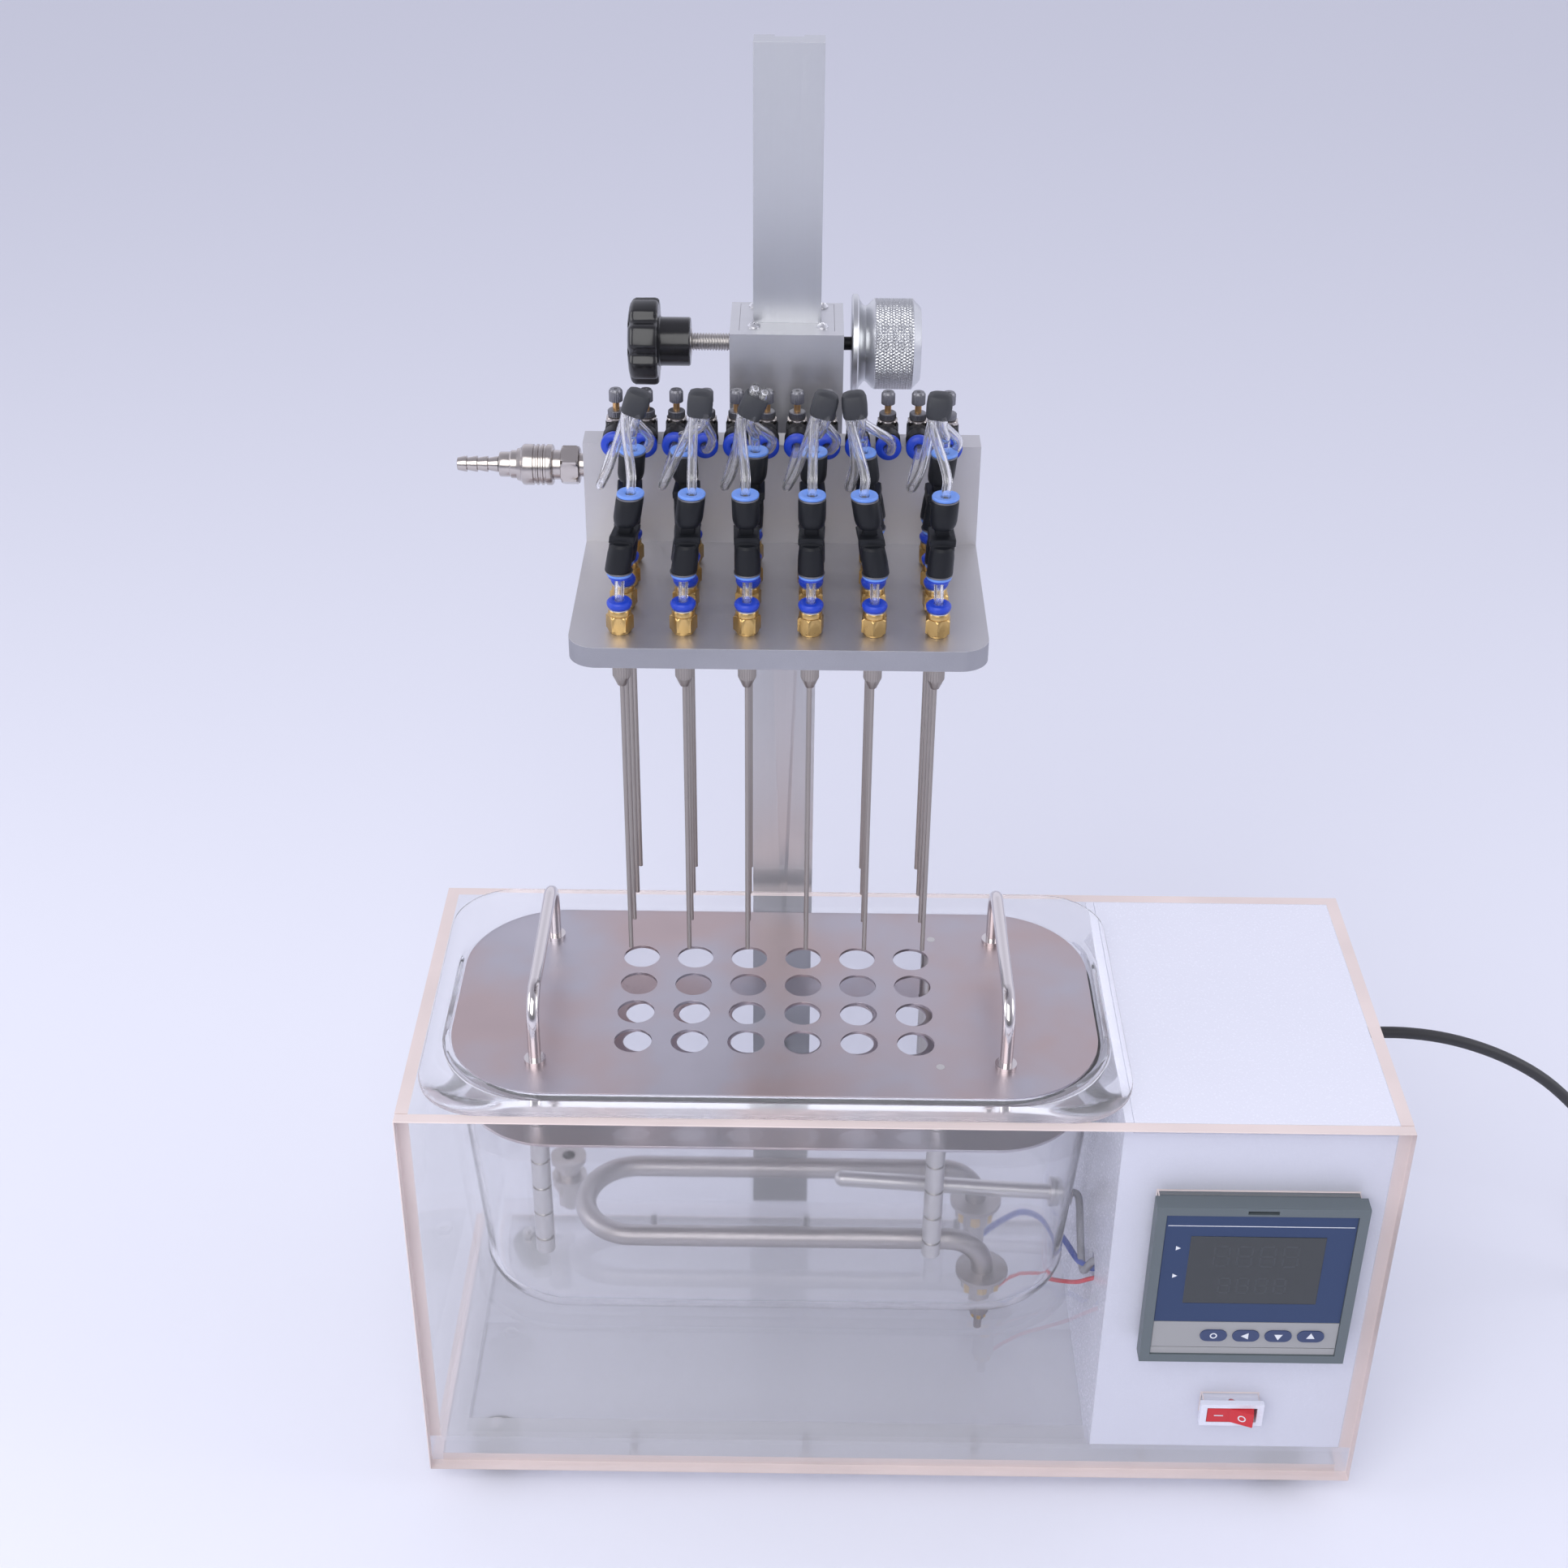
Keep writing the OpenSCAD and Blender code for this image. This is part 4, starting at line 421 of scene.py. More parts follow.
def coil_route(start, per_turn=32):
    """Spiral about start + (d, R): radius falls by a step a turn, stays while the coil climbs one layer
    in half a turn (drawn in by 1.6 sin), then grows again; angle runs one circle a turn."""
    t = np.arange(0, int((2 * LAYER_TURNS + 0.5) * per_turn) + 1) / per_turn
    rise = np.clip((t - LAYER_TURNS) / 0.5, 0, 1)
    inner = COIL_OUTER - COIL_STEP * LAYER_TURNS
    radius = np.where(t < LAYER_TURNS, COIL_OUTER - COIL_STEP * t,
                      np.where(t > LAYER_TURNS + 0.5, inner + COIL_STEP * (t - LAYER_TURNS - 0.5),
                               inner - 1.6 * np.sin(math.pi * rise)))
    turn = 2 * math.pi * t
    middle = np.array(start) + [CORD_D, COIL_OUTER, 0]
    spiral = middle + np.stack([radius * np.sin(turn), -radius * np.cos(turn), COIL_STEP * rise], axis=1)
    return np.vstack([spiral, spiral[-1] + [0, PLUG_GAP / 2, 0], spiral[-1] + [0, PLUG_GAP, 0]])


loose = curve_through(lead_route, 4)
wound = coil_route(lead_route[-1])
cord_path = at_all(np.vstack([loose, wound]))
mains = rod("mains_lead", cord_path, CORD_D / 2 * MM, 16, (0.0, 0.0, 1.0), M["lead"])
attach(mains, "cabinet")
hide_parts("cord_lead", "cord_coil")

# %% [markdown]
# Most blocks and plates of this instrument are sawn bars or sheets with edges eased by a file or a
# bevel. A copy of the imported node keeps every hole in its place: its loose triangles are merged, its
# flat faces are joined, and a Bevel modifier rounds whatever edge is sharper than 35 degrees.

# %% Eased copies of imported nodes
body_of = {n: body for body, names in frame["record"]["behaviour"]["bodies"].items() for n in names}


def eased(node_name, width_mm, segments, *materials, sorter=None, split_z=None, inset=0.0):
    """A merged copy of a node with bevelled edges; sorter(centre, normal) gives each face's slot, after
    faces that cross the height split_z are cut there. Inset draws the skin in by that many millimetres,
    so that a clear piece never lies exactly on its neighbour's face."""
    mesh = nodes[node_name].data.copy()
    mesh.name = node_name + "_eased"
    work = bmesh.new()
    work.from_mesh(mesh)
    bmesh.ops.remove_doubles(work, verts=work.verts, dist=2e-6)
    bmesh.ops.dissolve_limit(work, angle_limit=math.radians(0.6), verts=work.verts, edges=work.edges)
    work.normal_update()
    for v in work.verts:
        v.co -= v.normal * inset * MM
    if split_z is not None:
        bmesh.ops.bisect_plane(work, geom=work.verts[:] + work.edges[:] + work.faces[:],
                               plane_co=at(0, 0, split_z), plane_no=(0, 0, 1))
    work.to_mesh(mesh)
    work.free()
    mesh.materials.clear()
    for material in materials:
        mesh.materials.append(material)
    count = len(mesh.polygons)
    slots = np.zeros(count, int)
    if sorter is not None:
        centre, normal = np.empty(count * 3), np.empty(count * 3)
        mesh.polygons.foreach_get("center", centre)
        mesh.polygons.foreach_get("normal", normal)
        slots = sorter((centre.reshape(-1, 3) - shift) / MM, normal.reshape(-1, 3)).astype(int)
    mesh.polygons.foreach_set("material_index", slots)
    mesh.polygons.foreach_set("use_smooth", [True] * count)
    mesh.set_sharp_from_angle(angle=math.radians(32))
    piece = bpy.data.objects.new(node_name + "_eased", mesh)
    bpy.context.scene.collection.objects.link(piece)
    bevel = piece.modifiers.new("eased_edges", "BEVEL")
    bevel.width, bevel.segments = width_mm * MM, segments
    bevel.limit_method, bevel.angle_limit = "ANGLE", math.radians(35)
    bevel.harden_normals = True
    bevel.use_clamp_overlap = True
    bevel.material = 1 if sorter is not None else -1
    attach(piece, body_of[node_name])
    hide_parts(node_name)
    return piece


for node_name, width, segments, look_name in (
        ("column", 0.4, 2, "satin_z"), ("slide_block", 0.5, 2, "satin"), ("guide_plates", 0.25, 1, "satin"),
        ("manifold", 0.5, 2, "plate"), ("rack_plate", 0.35, 2, "rack_metal"),
        ("rack_shelf", 0.35, 2, "rack_metal"), ("top_panel", 0.4, 2, "white"),
        ("control_liner", 0.3, 1, "white"), ("switch_frame", 0.5, 2, "white"),
        ("meter_case", 0.6, 2, "housing"), ("switch_rocker", 0.35, 2, "red")):
    eased(node_name, width, segments, M[look_name])


def milled_sides(centre, normal):
    """Slot 1 for the faces that look sideways: the milled rim of the plate."""
    return np.abs(normal[:, 2]) < 0.5


eased("needle_plate", 1.0, 3, M["plate"], M["milled"], sorter=milled_sides).modifiers[0].material = 0

# %% [markdown]
# The clear sheets get two materials. Their wide faces are polished and clear, while their sawn edges
# are matt and a little pink, because the saw leaves a rough surface and light gathers there. The faces
# are told apart by their place and by the direction they look in.

# %% Clear case
RAIL_TOP = 17.0


def wall_edges(centre, normal):
    """Slot 1 for the walls' top and bottom edges and their ends; slot 2, milky white, for the rails bonded inside,
    on their front faces a painted reflection of light caught in the rail.
    """
    level = (np.abs(normal[:, 2]) > 0.9) & ((centre[:, 2] > CASE_H - 0.2) | (centre[:, 2] < 0.2))
    ends = (np.abs(normal[:, 1]) > 0.9) & (np.abs(centre[:, 0]) > CASE_W / 2 - 6.2)
    rails = (normal[:, 2] > 0.9) & (np.abs(centre[:, 2] - RAIL_TOP) < 0.2)
    # The rails' front faces get the milky white too: a painted reflection of light caught inside the polished
    # rail.
    rails |= (normal[:, 1] < -0.9) & (centre[:, 2] < RAIL_TOP) & (centre[:, 1] < -85)
    return np.where(rails, 2, (level | ends).astype(int))


def front_edges(centre, normal):
    """Slot 1 for the outer edges of the front sheet; its cut-outs stay clear."""
    outline = (np.abs(centre[:, 0]) > CASE_W / 2 - 1) | (centre[:, 2] > CASE_H - 1) | (centre[:, 2] < 1)
    return (np.abs(normal[:, 1]) < 0.5) & outline


def base_edges(centre, normal):
    """Slot 1 for every face of the base that does not look up or down."""
    return np.abs(normal[:, 2]) < 0.5


eased("case_walls", 0.5, 2, M["acrylic"], M["sawn"], M["painted_rail_light"], sorter=wall_edges, split_z=RAIL_TOP,
      inset=0.06)
eased("front_panel", 0.5, 2, M["acrylic"], M["sawn"], sorter=front_edges, inset=0.06)
# The base's milky white is painted light over the shaded floor inside the case.
eased("base_panel", 0.4, 2, M["base"], M["sawn"], sorter=base_edges, inset=0.06)
print("clear case made")

# %% [markdown]
# Turned parts are profiles carried round an axis. Hexagons, lobes and flutes fit the same idea: the
# radius of each ring is the smaller of the profile's and of a limit that depends on the angle. A
# hexagon cut down by its own turned chamfer comes out exactly as it does on a lathe.

# %% Turned forms
def ring_angles(sides):
    return np.linspace(0, 2 * math.pi, sides, endpoint=False)


def turned(profile, sides=32, limit=None):
    """Rings of points (r cos a, r sin a, z), r = min(profile radius, limit(a) - inset) for each row
    (radius, z) or (radius, z, inset) of the profile."""
    rows = np.array([tuple(p) + (0.0,) * (3 - len(p)) for p in profile], float)
    a = ring_angles(sides)
    r = np.broadcast_to(rows[:, 0:1], (len(rows), sides))
    if limit is not None:
        r = np.minimum(r, limit(a)[None] - rows[:, 2:3])
    z = np.broadcast_to(rows[:, 1:2], r.shape)
    return np.stack([r * np.cos(a), r * np.sin(a), z], axis=-1)


def hexagon(across):
    """Distance from the middle of a hexagon to its side: (across / 2) / cos(angle to the nearest flat)."""
    return lambda a: across / 2 / np.cos((a + math.pi / 6) % (math.pi / 3) - math.pi / 6)


def fluted(radius, flutes, depth):
    """A straight knurl: radius - depth * |sin(flutes * a / 2)|."""
    return lambda a: radius - depth * np.abs(np.sin(flutes * a / 2))


def solid(rings, ring_closed=False):
    """Points and faces of a closed form: quads along the rings, then a face on each end, or the last
    ring joined to the first when the profile itself is a closed line."""
    rows, sides = rings.shape[:2]
    faces = grid_faces(rows, sides)
    if ring_closed:
        k = np.arange(sides)
        n = (k + 1) % sides
        last = (rows - 1) * sides
        faces += np.stack([last + k, last + n, n, k], axis=1).tolist()
    else:
        faces += [list(range(sides))[::-1], [(rows - 1) * sides + i for i in range(sides)]]
    return rings.reshape(-1, 3), faces


def block(x, y, z, soft=0.4):
    """A box with eased edges as rings of rounded rectangles, drawn in by soft at both ends; x, y and z
    are its low and high sides."""
    corner = ring_angles(8) + math.pi / 8
    sx, sy = np.sign(np.cos(corner)), np.sign(np.sin(corner))
    long_x = np.abs(np.cos(corner)) > np.abs(np.sin(corner))
    mx, my, hx, hy = (x[0] + x[1]) / 2, (y[0] + y[1]) / 2, (x[1] - x[0]) / 2, (y[1] - y[0]) / 2
    rows = []
    for height, inset in ((z[0], soft), (z[0] + soft, 0), (z[1] - soft, 0), (z[1], soft)):
        px = sx * (hx - inset - np.where(long_x, 0, soft))
        py = sy * (hy - inset - np.where(long_x, soft, 0))
        rows.append(np.stack([mx + px, my + py, np.full(8, height)], axis=-1))
    return solid(np.array(rows))


def turn_to(points, axis):
    """Carries +z to +x or +y by a cyclic change of axes, or to -x or -y by a further half turn."""
    x, y, z = np.moveaxis(points, -1, 0)
    ways = {"x": (z, x, y), "y": (y, z, x), "-x": (-z, -x, y), "-y": (-y, -z, x), "-z": (x, -y, -z)}
    return np.stack(ways[axis], axis=-1)


def moved(part, spots, axis=None, turns=None):
    """A part repeated at many spots, each copy perhaps turned by its own angle about z."""
    points, faces = part
    points = points if axis is None else turn_to(points, axis)
    spots = np.atleast_2d(np.asarray(spots, float))
    copies = np.broadcast_to(points, (len(spots),) + points.shape)
    if turns is not None:
        c, s = np.cos(turns)[:, None], np.sin(turns)[:, None]
        copies = np.stack([copies[..., 0] * c - copies[..., 1] * s,
                           copies[..., 0] * s + copies[..., 1] * c, copies[..., 2]], axis=-1)
    copies = copies + spots[:, None]
    shifted = [[v + k * len(points) for v in face] for k in range(len(spots)) for face in faces]
    return copies.reshape(-1, 3), shifted


def joined(*parts):
    """Several parts as one set of points and faces."""
    points, faces, first = [], [], 0
    for p, f in parts:
        points.append(p)
        faces += [[v + first for v in face] for face in f]
        first += len(p)
    return np.vstack(points), faces


def make(name, material, body, *parts, replaces=(), slot=None, sharp=32):
    """Parts given in millimetres in the case's frame, as one piece that rides on a body."""
    points, faces = joined(*parts)
    piece = new_mesh(name, at_all(points), faces, material)
    piece.data.set_sharp_from_angle(angle=math.radians(sharp))
    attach(piece, body)
    if replaces:
        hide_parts(*replaces)
    print(name, len(piece.data.polygons), "faces")
    return piece


# %% [markdown]
# The bath pan is pressed from clear sheet, so every corner of it is round: a broad rim, a shallow seat
# that the rack plate drops into, and a tapered tub. Each ring of points is a rounded rectangle with the
# same number of points, and a list of rings goes down the inside, over the floor and up the outside.

# %% Bath pan
PAN_X, LEDGE_Z, FLOOR_Z, WALL, FILLET = -57.6, 222.0, 75.0, 3.0, 20.0
TUB_X, TUB_Y, TUB_R = 149.5, 70.75, 47.0
TAPER = math.tan(math.radians(4))


def rounded_ring(half_x, half_y, corner, per_corner=14):
    """Points of a rounded rectangle: corner centres at half size less radius, plus radius (cos a, sin a),
    with the angle running through a quarter turn at each corner."""
    a = (np.arange(4)[:, None] + np.linspace(0, 1, per_corner)[None]) * math.pi / 2
    sx, sy = np.array([1, -1, -1, 1])[:, None], np.array([1, 1, -1, -1])[:, None]
    x = sx * (half_x - corner) + corner * np.cos(a)
    y = sy * (half_y - corner) + corner * np.sin(a)
    return np.stack([x.ravel(), y.ravel()], axis=-1)


def pan_rings(rows):
    """Rings for rows of (half length, half depth, corner radius, height)."""
    return np.array([np.column_stack([rounded_ring(hx, hy, r), np.full(56, z)]) for hx, hy, r, z in rows])


def tub_rows(top, floor, fillet, wall):
    """Half sizes down a wall that leans in by 4 degrees, then round a fillet of radius f to the floor:
    drawn in by (ledge - z) tan 4, plus f (1 - cos b), at height floor + f (1 - sin b)."""
    rows = []

    def drawn_in(z):
        return (LEDGE_Z - z) * TAPER - wall

    for z in np.linspace(top, floor + fillet, 5):
        d = drawn_in(z)
        rows.append((TUB_X - d, TUB_Y - d, TUB_R + wall - d * 0.4, z))
    for b in np.linspace(0, math.pi / 2, 9)[1:]:
        d = drawn_in(floor + fillet) + fillet * (1 - math.cos(b))
        rows.append((TUB_X - d, TUB_Y - d, max(TUB_R - d * 0.75, 12), floor + fillet * (1 - math.sin(b))))
    return rows


outer = [(1.0, 0.5, 0.3, FLOOR_Z - WALL)] + tub_rows(218.6, FLOOR_Z - WALL, FILLET + WALL, WALL)[::-1]
over = [(153.6, 74.8, 50.5, 219.0), (155.0, 76.2, 51, 219.6), (155.3, 76.6, 50, 221.6),
        (156.2, 77.5, 47, 222.46), (161.9, 87.4, 29.5, 222.46), (162.4, 87.9, 30, 223.0),
        (162.44, 87.94, 30, 224.8), (161.9, 87.4, 29.5, 225.34), (154.0, 75.3, 48, 225.34),
        (152.9, 74.2, 48.5, 224.9), (152.5, 73.8, 49, 224.0), (152.5, 73.8, 49, 222.3),
        (152.0, 73.3, 48.5, LEDGE_Z), (150.2, 71.5, 47.4, LEDGE_Z), (149.6, 70.9, 47, 221.5)]
inner = tub_rows(220.5, FLOOR_Z, FILLET, 0.0) + [(1.0, 0.5, 0.3, FLOOR_Z)]
pan_piece = solid(pan_rings(outer + over + inner))
make("bath_pan_pressed", M["pan"], "cabinet", moved(pan_piece, [PAN_X, 0, 0]),
     replaces=("bath_pan",), sharp=50)

# %% [markdown]
# The lift knob is turned from aluminium: a thin flange, a narrow neck, and a drum with a diamond
# knurl. The knurl is two sets of fine helical grooves that cross. On the grid of the drum's surface
# each set is a sawtooth of angle plus or minus height, and the deeper of the two wins.

# %% Lift knob
LIFT_X, LIFT_Y, LIFT_Z = -27.0, 110.1, 510.4
knob_profile = [(3.0, 0.0), (21.4, 0.0), (22.0, 0.5), (22.0, 2.4), (21.6, 2.9), (19.4, 3.5), (17.2, 5.2),
                (16.7, 6.2), (17.1, 6.9), (19.6, 9.3)]
knob_end = [(19.4, 28.0), (17.0, 30.4), (16.2, 31.0), (0.4, 31.0)]
knurl_rows, knurl_sides, grooves = 48, 432, 84
height = np.linspace(10.2, 27.4, knurl_rows)
angle = ring_angles(knurl_sides)
twist = angle[None] * grooves / (2 * math.pi)
rise = (height[:, None] - height[0]) * grooves / (2 * math.pi * 20.2) * 0.62
cut = np.maximum(np.abs((twist + rise) % 1 - 0.5), np.abs((twist - rise) % 1 - 0.5)) * 2
fade = np.clip(np.minimum(height - height[0], height[-1] - height) / 0.5, 0, 1)[:, None]
radius = 20.2 - 0.45 * fade * np.clip(cut * 2 - 1, 0, 1)
drum = np.stack([radius * np.cos(angle), radius * np.sin(angle),
                 np.broadcast_to(height[:, None], radius.shape)], axis=-1)
knob_rings = np.concatenate([turned(knob_profile, knurl_sides), drum, turned(knob_end, knurl_sides)])
make("lift_knob_turned", M["knurled"], "lift", moved(solid(knob_rings), [LIFT_X, LIFT_Y, LIFT_Z], "x"),
     replaces=("lift_knob",))

# %% [markdown]
# The clamp knob is moulded in glossy black with seven lobes, a domed face and a plain hub. Its outline
# is a circle with a smooth dip between lobes, and rows of the profile near the edge are drawn inwards
# so that the rim is round. The stud has a real helical thread: the radius follows a triangle wave of
# height over pitch minus turn.

# %% Clamp knob and stud
CLAMP_X, CLAMP_Y, CLAMP_Z = -126.0, 98.25, 515.0


def lobes(a):
    """19.2 - 2.2 * (dip between lobes) ** 1.4, seven dips a turn."""
    return 19.2 - 2.2 * np.clip(-np.cos(7 * a), 0, 1) ** 1.4


clamp_profile = [(0.3, -0.8, 0), (5, -0.75, 0), (10, -0.6, 0), (14, -0.3, 0), (30, 0.1, 3.2), (30, 0.6, 1.7),
                 (30, 1.4, 0.7), (30, 2.6, 0.1), (30, 11.0, 0), (30, 12.2, 0.3), (30, 12.9, 1.1),
                 (14, 13.2, 2.4), (11.6, 13.3, 0), (10.9, 13.8, 0), (10.75, 14.6, 0), (10.75, 26.4, 0),
                 (10.3, 27.0, 0), (6.4, 27.2, 0)]
make("clamp_knob_moulded", M["bakelite"], "clamp",
     moved(solid(turned(clamp_profile, 140, lobes)), [CLAMP_X, CLAMP_Y, CLAMP_Z], "x"),
     replaces=("clamp_knob",))
PITCH = 1.25
along = np.arange(26.8, 54.7, PITCH / 8)
around = ring_angles(24)
wave = np.abs((along[:, None] / PITCH - around[None] / (2 * math.pi)) % 1 - 0.5) * 2
stud_radius = 3.35 + 0.65 * np.clip(wave * 1.3 - 0.15, 0, 1)
stud = np.stack([stud_radius * np.cos(around), stud_radius * np.sin(around),
                 np.broadcast_to(along[:, None], stud_radius.shape)], axis=-1)
insert = solid(turned([(6.2, 27.0), (6.2, 27.35), (5.9, 27.5), (4.2, 27.5)], 32))
make("clamp_stud", M["steel"], "clamp", moved(solid(stud), [CLAMP_X, CLAMP_Y, CLAMP_Z], "x"),
     moved(insert, [CLAMP_X, CLAMP_Y, CLAMP_Z], "x"), slot="head_screws")

# %% [markdown]
# Each valve is a black nylon elbow that ends forward in a push-fit mouth with a royal-blue release
# ring. On top sit a bright hexagon, a knurled lock nut and the adjusting screw, whose brass stem shows
# below a small knurled head. The twelve are one set of parts at twelve spots, but each screw turns on
# its own body, so it is a piece of its own.

# %% Valve bodies and lock nuts
PITCH_X, PITCH_Y, HEAD_X = 26.3, 22.1, -57.6
PLATE_TOP, BAR_TOP, BAR_Y = 438.3, 485.3, 59.15
column_x = HEAD_X + PITCH_X / 2 * np.array([-5, -3, -1, 1, 3, 5])
valve_x = np.sort(np.concatenate([column_x - PITCH_X / 4, column_x + PITCH_X / 4]))
valve_spots = [(x, BAR_Y, BAR_TOP) for x in valve_x]
mouth = solid(turned([(4.6, 0.0), (5.3, 0.15), (5.4, 0.5), (5.4, 6.6), (5.0, 7.6), (4.6, 9.5)], 32))
elbow = joined(moved(mouth, [0, -15, 4.2], "y"), block((-4.4, 4.4), (-8, 4.6), (0, 8), 0.6),
               solid(turned([(4.7, -0.2), (4.8, 0.3), (4.8, 7.6), (4.3, 8.0)], 32)),
               block((-3.4, 3.4), (-8.6, -4.0), (6.6, 9.0), 0.5))
make("valve_bodies_moulded", M["black_nylon"], "head", moved(elbow, valve_spots), replaces=("valve_bodies",))
nut = joined(solid(turned([(3.6, 8.0), (4.25, 8.2), (6, 8.5), (6, 9.6), (4.2, 10.0), (3.4, 10.2)], 48,
                          hexagon(8.5))),
             moved(solid(turned([(3.2, 0), (5, 0.3), (5, 2.7), (3.3, 3.0), (2.5, 3.1)], 96,
                                fluted(3.75, 26, 0.22))), [0, 0, 10.2]))
make("lock_nuts_knurled", M["dark_metal"], "head", moved(nut, valve_spots), replaces=("lock_nuts",))
bright = solid(turned([(3.7, 7.95), (4.3, 8.15), (6, 8.45), (6, 9.65), (4.25, 10.05), (3.5, 10.25)], 48,
                      lambda a: hexagon(8.5)(a) + 0.04))
make("valve_hexagons", M["nickel"], "head", moved(bright, valve_spots), slot="lock_nuts")

# %% Valve screws
screw_head = joined(
    solid(turned([(2.6, 17.0), (5, 17.2), (5, 21.7), (2.75, 21.95)], 96, fluted(3.0, 24, 0.16))),
    solid(turned([(2.8, 21.6), (2.74, 22.0), (2.4, 22.6), (0.8, 22.6), (0.7, 22.2)], 32)))
stem = solid(turned([(1.45, 2.2), (1.45, 17.3)], 20))
for k, spot in enumerate(valve_spots, start=1):
    name, body = f"valve_screw_{k:02d}", f"valve_{k:02d}"
    turn = np.array([0.37 * k])
    make(f"{name}_head", M["dark_metal"], body, moved(screw_head, spot, turns=turn), replaces=(name,))
    make(f"{name}_stem", M["stem_brass"], body, moved(stem, spot), slot="brass_fittings")

# %% [markdown]
# Each Y union takes one tube from above and splits it in two. From the top down it is a round mouth
# with a sky-blue disc over a thin steel ring, a narrow waist, square shoulders with small tabs, and two
# round legs one behind the other, each closed by a steel ring, a pale band and a royal-blue ring. Real
# ones are pushed on by hand, so each is turned by a few degrees.

# %% Y unions
UNION_Z = 463.5
union_spots = [(x, s * PITCH_Y, UNION_Z) for s in (-1, 1) for x in column_x]
tilt = np.radians([-7, 3, 2, -2, 5, 2, 4, -3, 1, 3, -4, 2])
leg = solid(turned([(5.0, 0), (5.4, 0.3), (5.45, 1.0), (5.3, 8.0), (4.9, 11.6), (4.0, 12.6), (2.5, 12.9)], 32))
union = joined(
    moved(leg, [[0, -5.5, 0], [0, 5.5, 0]]),
    block((-4.9, 4.9), (-7.5, 7.5), (9.5, 13.6), 0.7),
    block((-5.3, 5.3), (-6.9, 6.9), (12.2, 15.6), 0.4),
    block((-2.9, 2.9), (-3.1, 3.1), (14.8, 19.6), 0.5),
    solid(turned([(3.4, 18.0), (4.6, 18.5), (5.3, 19.8), (5.65, 21.6), (5.7, 24.0), (5.7, 30.2),
                  (5.5, 30.6)], 40)))
FRONT_LEAN, BACK_LEAN = [5.3, 3.8, -0.9, 0.0, -5.3, 1.6], [3.0, -1.9, 2.3, 0.9, -5.0, 3.4]
union_lean = np.array(FRONT_LEAN + BACK_LEAN)


def leaning(part, spots, turns=None):
    """Copies at the unions, each sheared sideways: x + lean * (height above the collar) / 33."""
    copies = []
    for k, spot in enumerate(spots):
        points, faces = moved(part, spot, turns=None if turns is None else turns[k:k + 1])
        points[:, 0] += union_lean[k] * np.clip(points[:, 2] - UNION_Z, 0, 40) / 33
        copies.append((points, faces))
    return joined(*copies)


make("tube_unions_moulded", M["black_nylon"], "head", leaning(union, union_spots, tilt),
     replaces=("tube_unions",))
TUBE_R = 2.0
steel_ring = solid(turned([(2.4, 0), (5.5, 0), (5.6, 0.15), (5.6, 0.55), (5.45, 0.7), (2.4, 0.7)], 40), True)
sky_disc = solid(turned([(2.2, 0), (5.2, 0), (5.6, 0.35), (5.65, 1.0), (5.4, 1.45), (4.6, 1.55), (2.9, 1.3),
                         (2.2, 0.9)], 40), True)
pale_band = solid(turned([(2.3, 0), (4.9, 0), (5.25, 0.3), (5.3, 1.15), (5.2, 1.4), (2.3, 1.4)], 40), True)
royal_ring = solid(turned([(2.2, 0.3), (2.8, 0), (4.2, 0), (4.75, 0.4), (4.9, 1.3), (2.3, 1.3)], 40), True)
legs_at = np.array([(x, y + d, UNION_Z) for x, y, _ in union_spots for d in (-5.5, 5.5)])
make("union_rings", M["dark_metal"], "head", leaning(steel_ring, np.array(union_spots) + [0, 0, 30.4]),
     moved(steel_ring, legs_at - [0, 0, 0.5]), slot="lock_nuts")

# %% [markdown]
# The release rings come in two blues: royal blue on the valves, the fittings and below the unions, and
# a lighter blue on top of the unions and in the bands, where the plastic is thin over white.

# %% Release rings
needle_spots = np.array([(x, y, PLATE_TOP) for x in column_x
                         for y in PITCH_Y * np.array([-1.5, -0.5, 0.5, 1.5])])
fitting_disc = solid(turned([(2.2, 0.6), (3.4, 0), (4.3, 0), (5.0, 0.7), (5.3, 1.7), (5.2, 2.5), (4.6, 3.2),
                             (3.2, 3.55), (2.2, 3.3)], 40), True)
mouth_disc = solid(turned([(2.3, 4.9), (4.6, 4.9), (5.2, 4.4), (5.6, 3.3), (5.65, 1.6), (5.4, 0.8), (4.4, 0.2),
                           (3.0, 0.1), (2.3, 0.5)][::-1], 40), True)
make("royal_release_rings", M["blue"], "head",
     moved(fitting_disc, needle_spots + [0, 0, 11.2]), moved(royal_ring, legs_at - [0, 0, 3.1]),
     moved(mouth_disc, [(x, BAR_Y - 20.0, BAR_TOP + 4.2) for x in valve_x], "y"), replaces=("release_collars",))
make("sky_release_rings", M["pale_blue"], "head",
     leaning(sky_disc, np.array(union_spots) + [0, 0, 31.1]), moved(pale_band, legs_at - [0, 0, 1.9]),
     slot="release_collars")

# %% [markdown]
# The brass fittings are hexagons with a turned chamfer at each end, a round shoulder above and below,
# and a thin steel ring under the blue disc. They screw through the plate into the needles' hubs, which
# have lengthwise flutes for the fingers and taper to the thin needle.

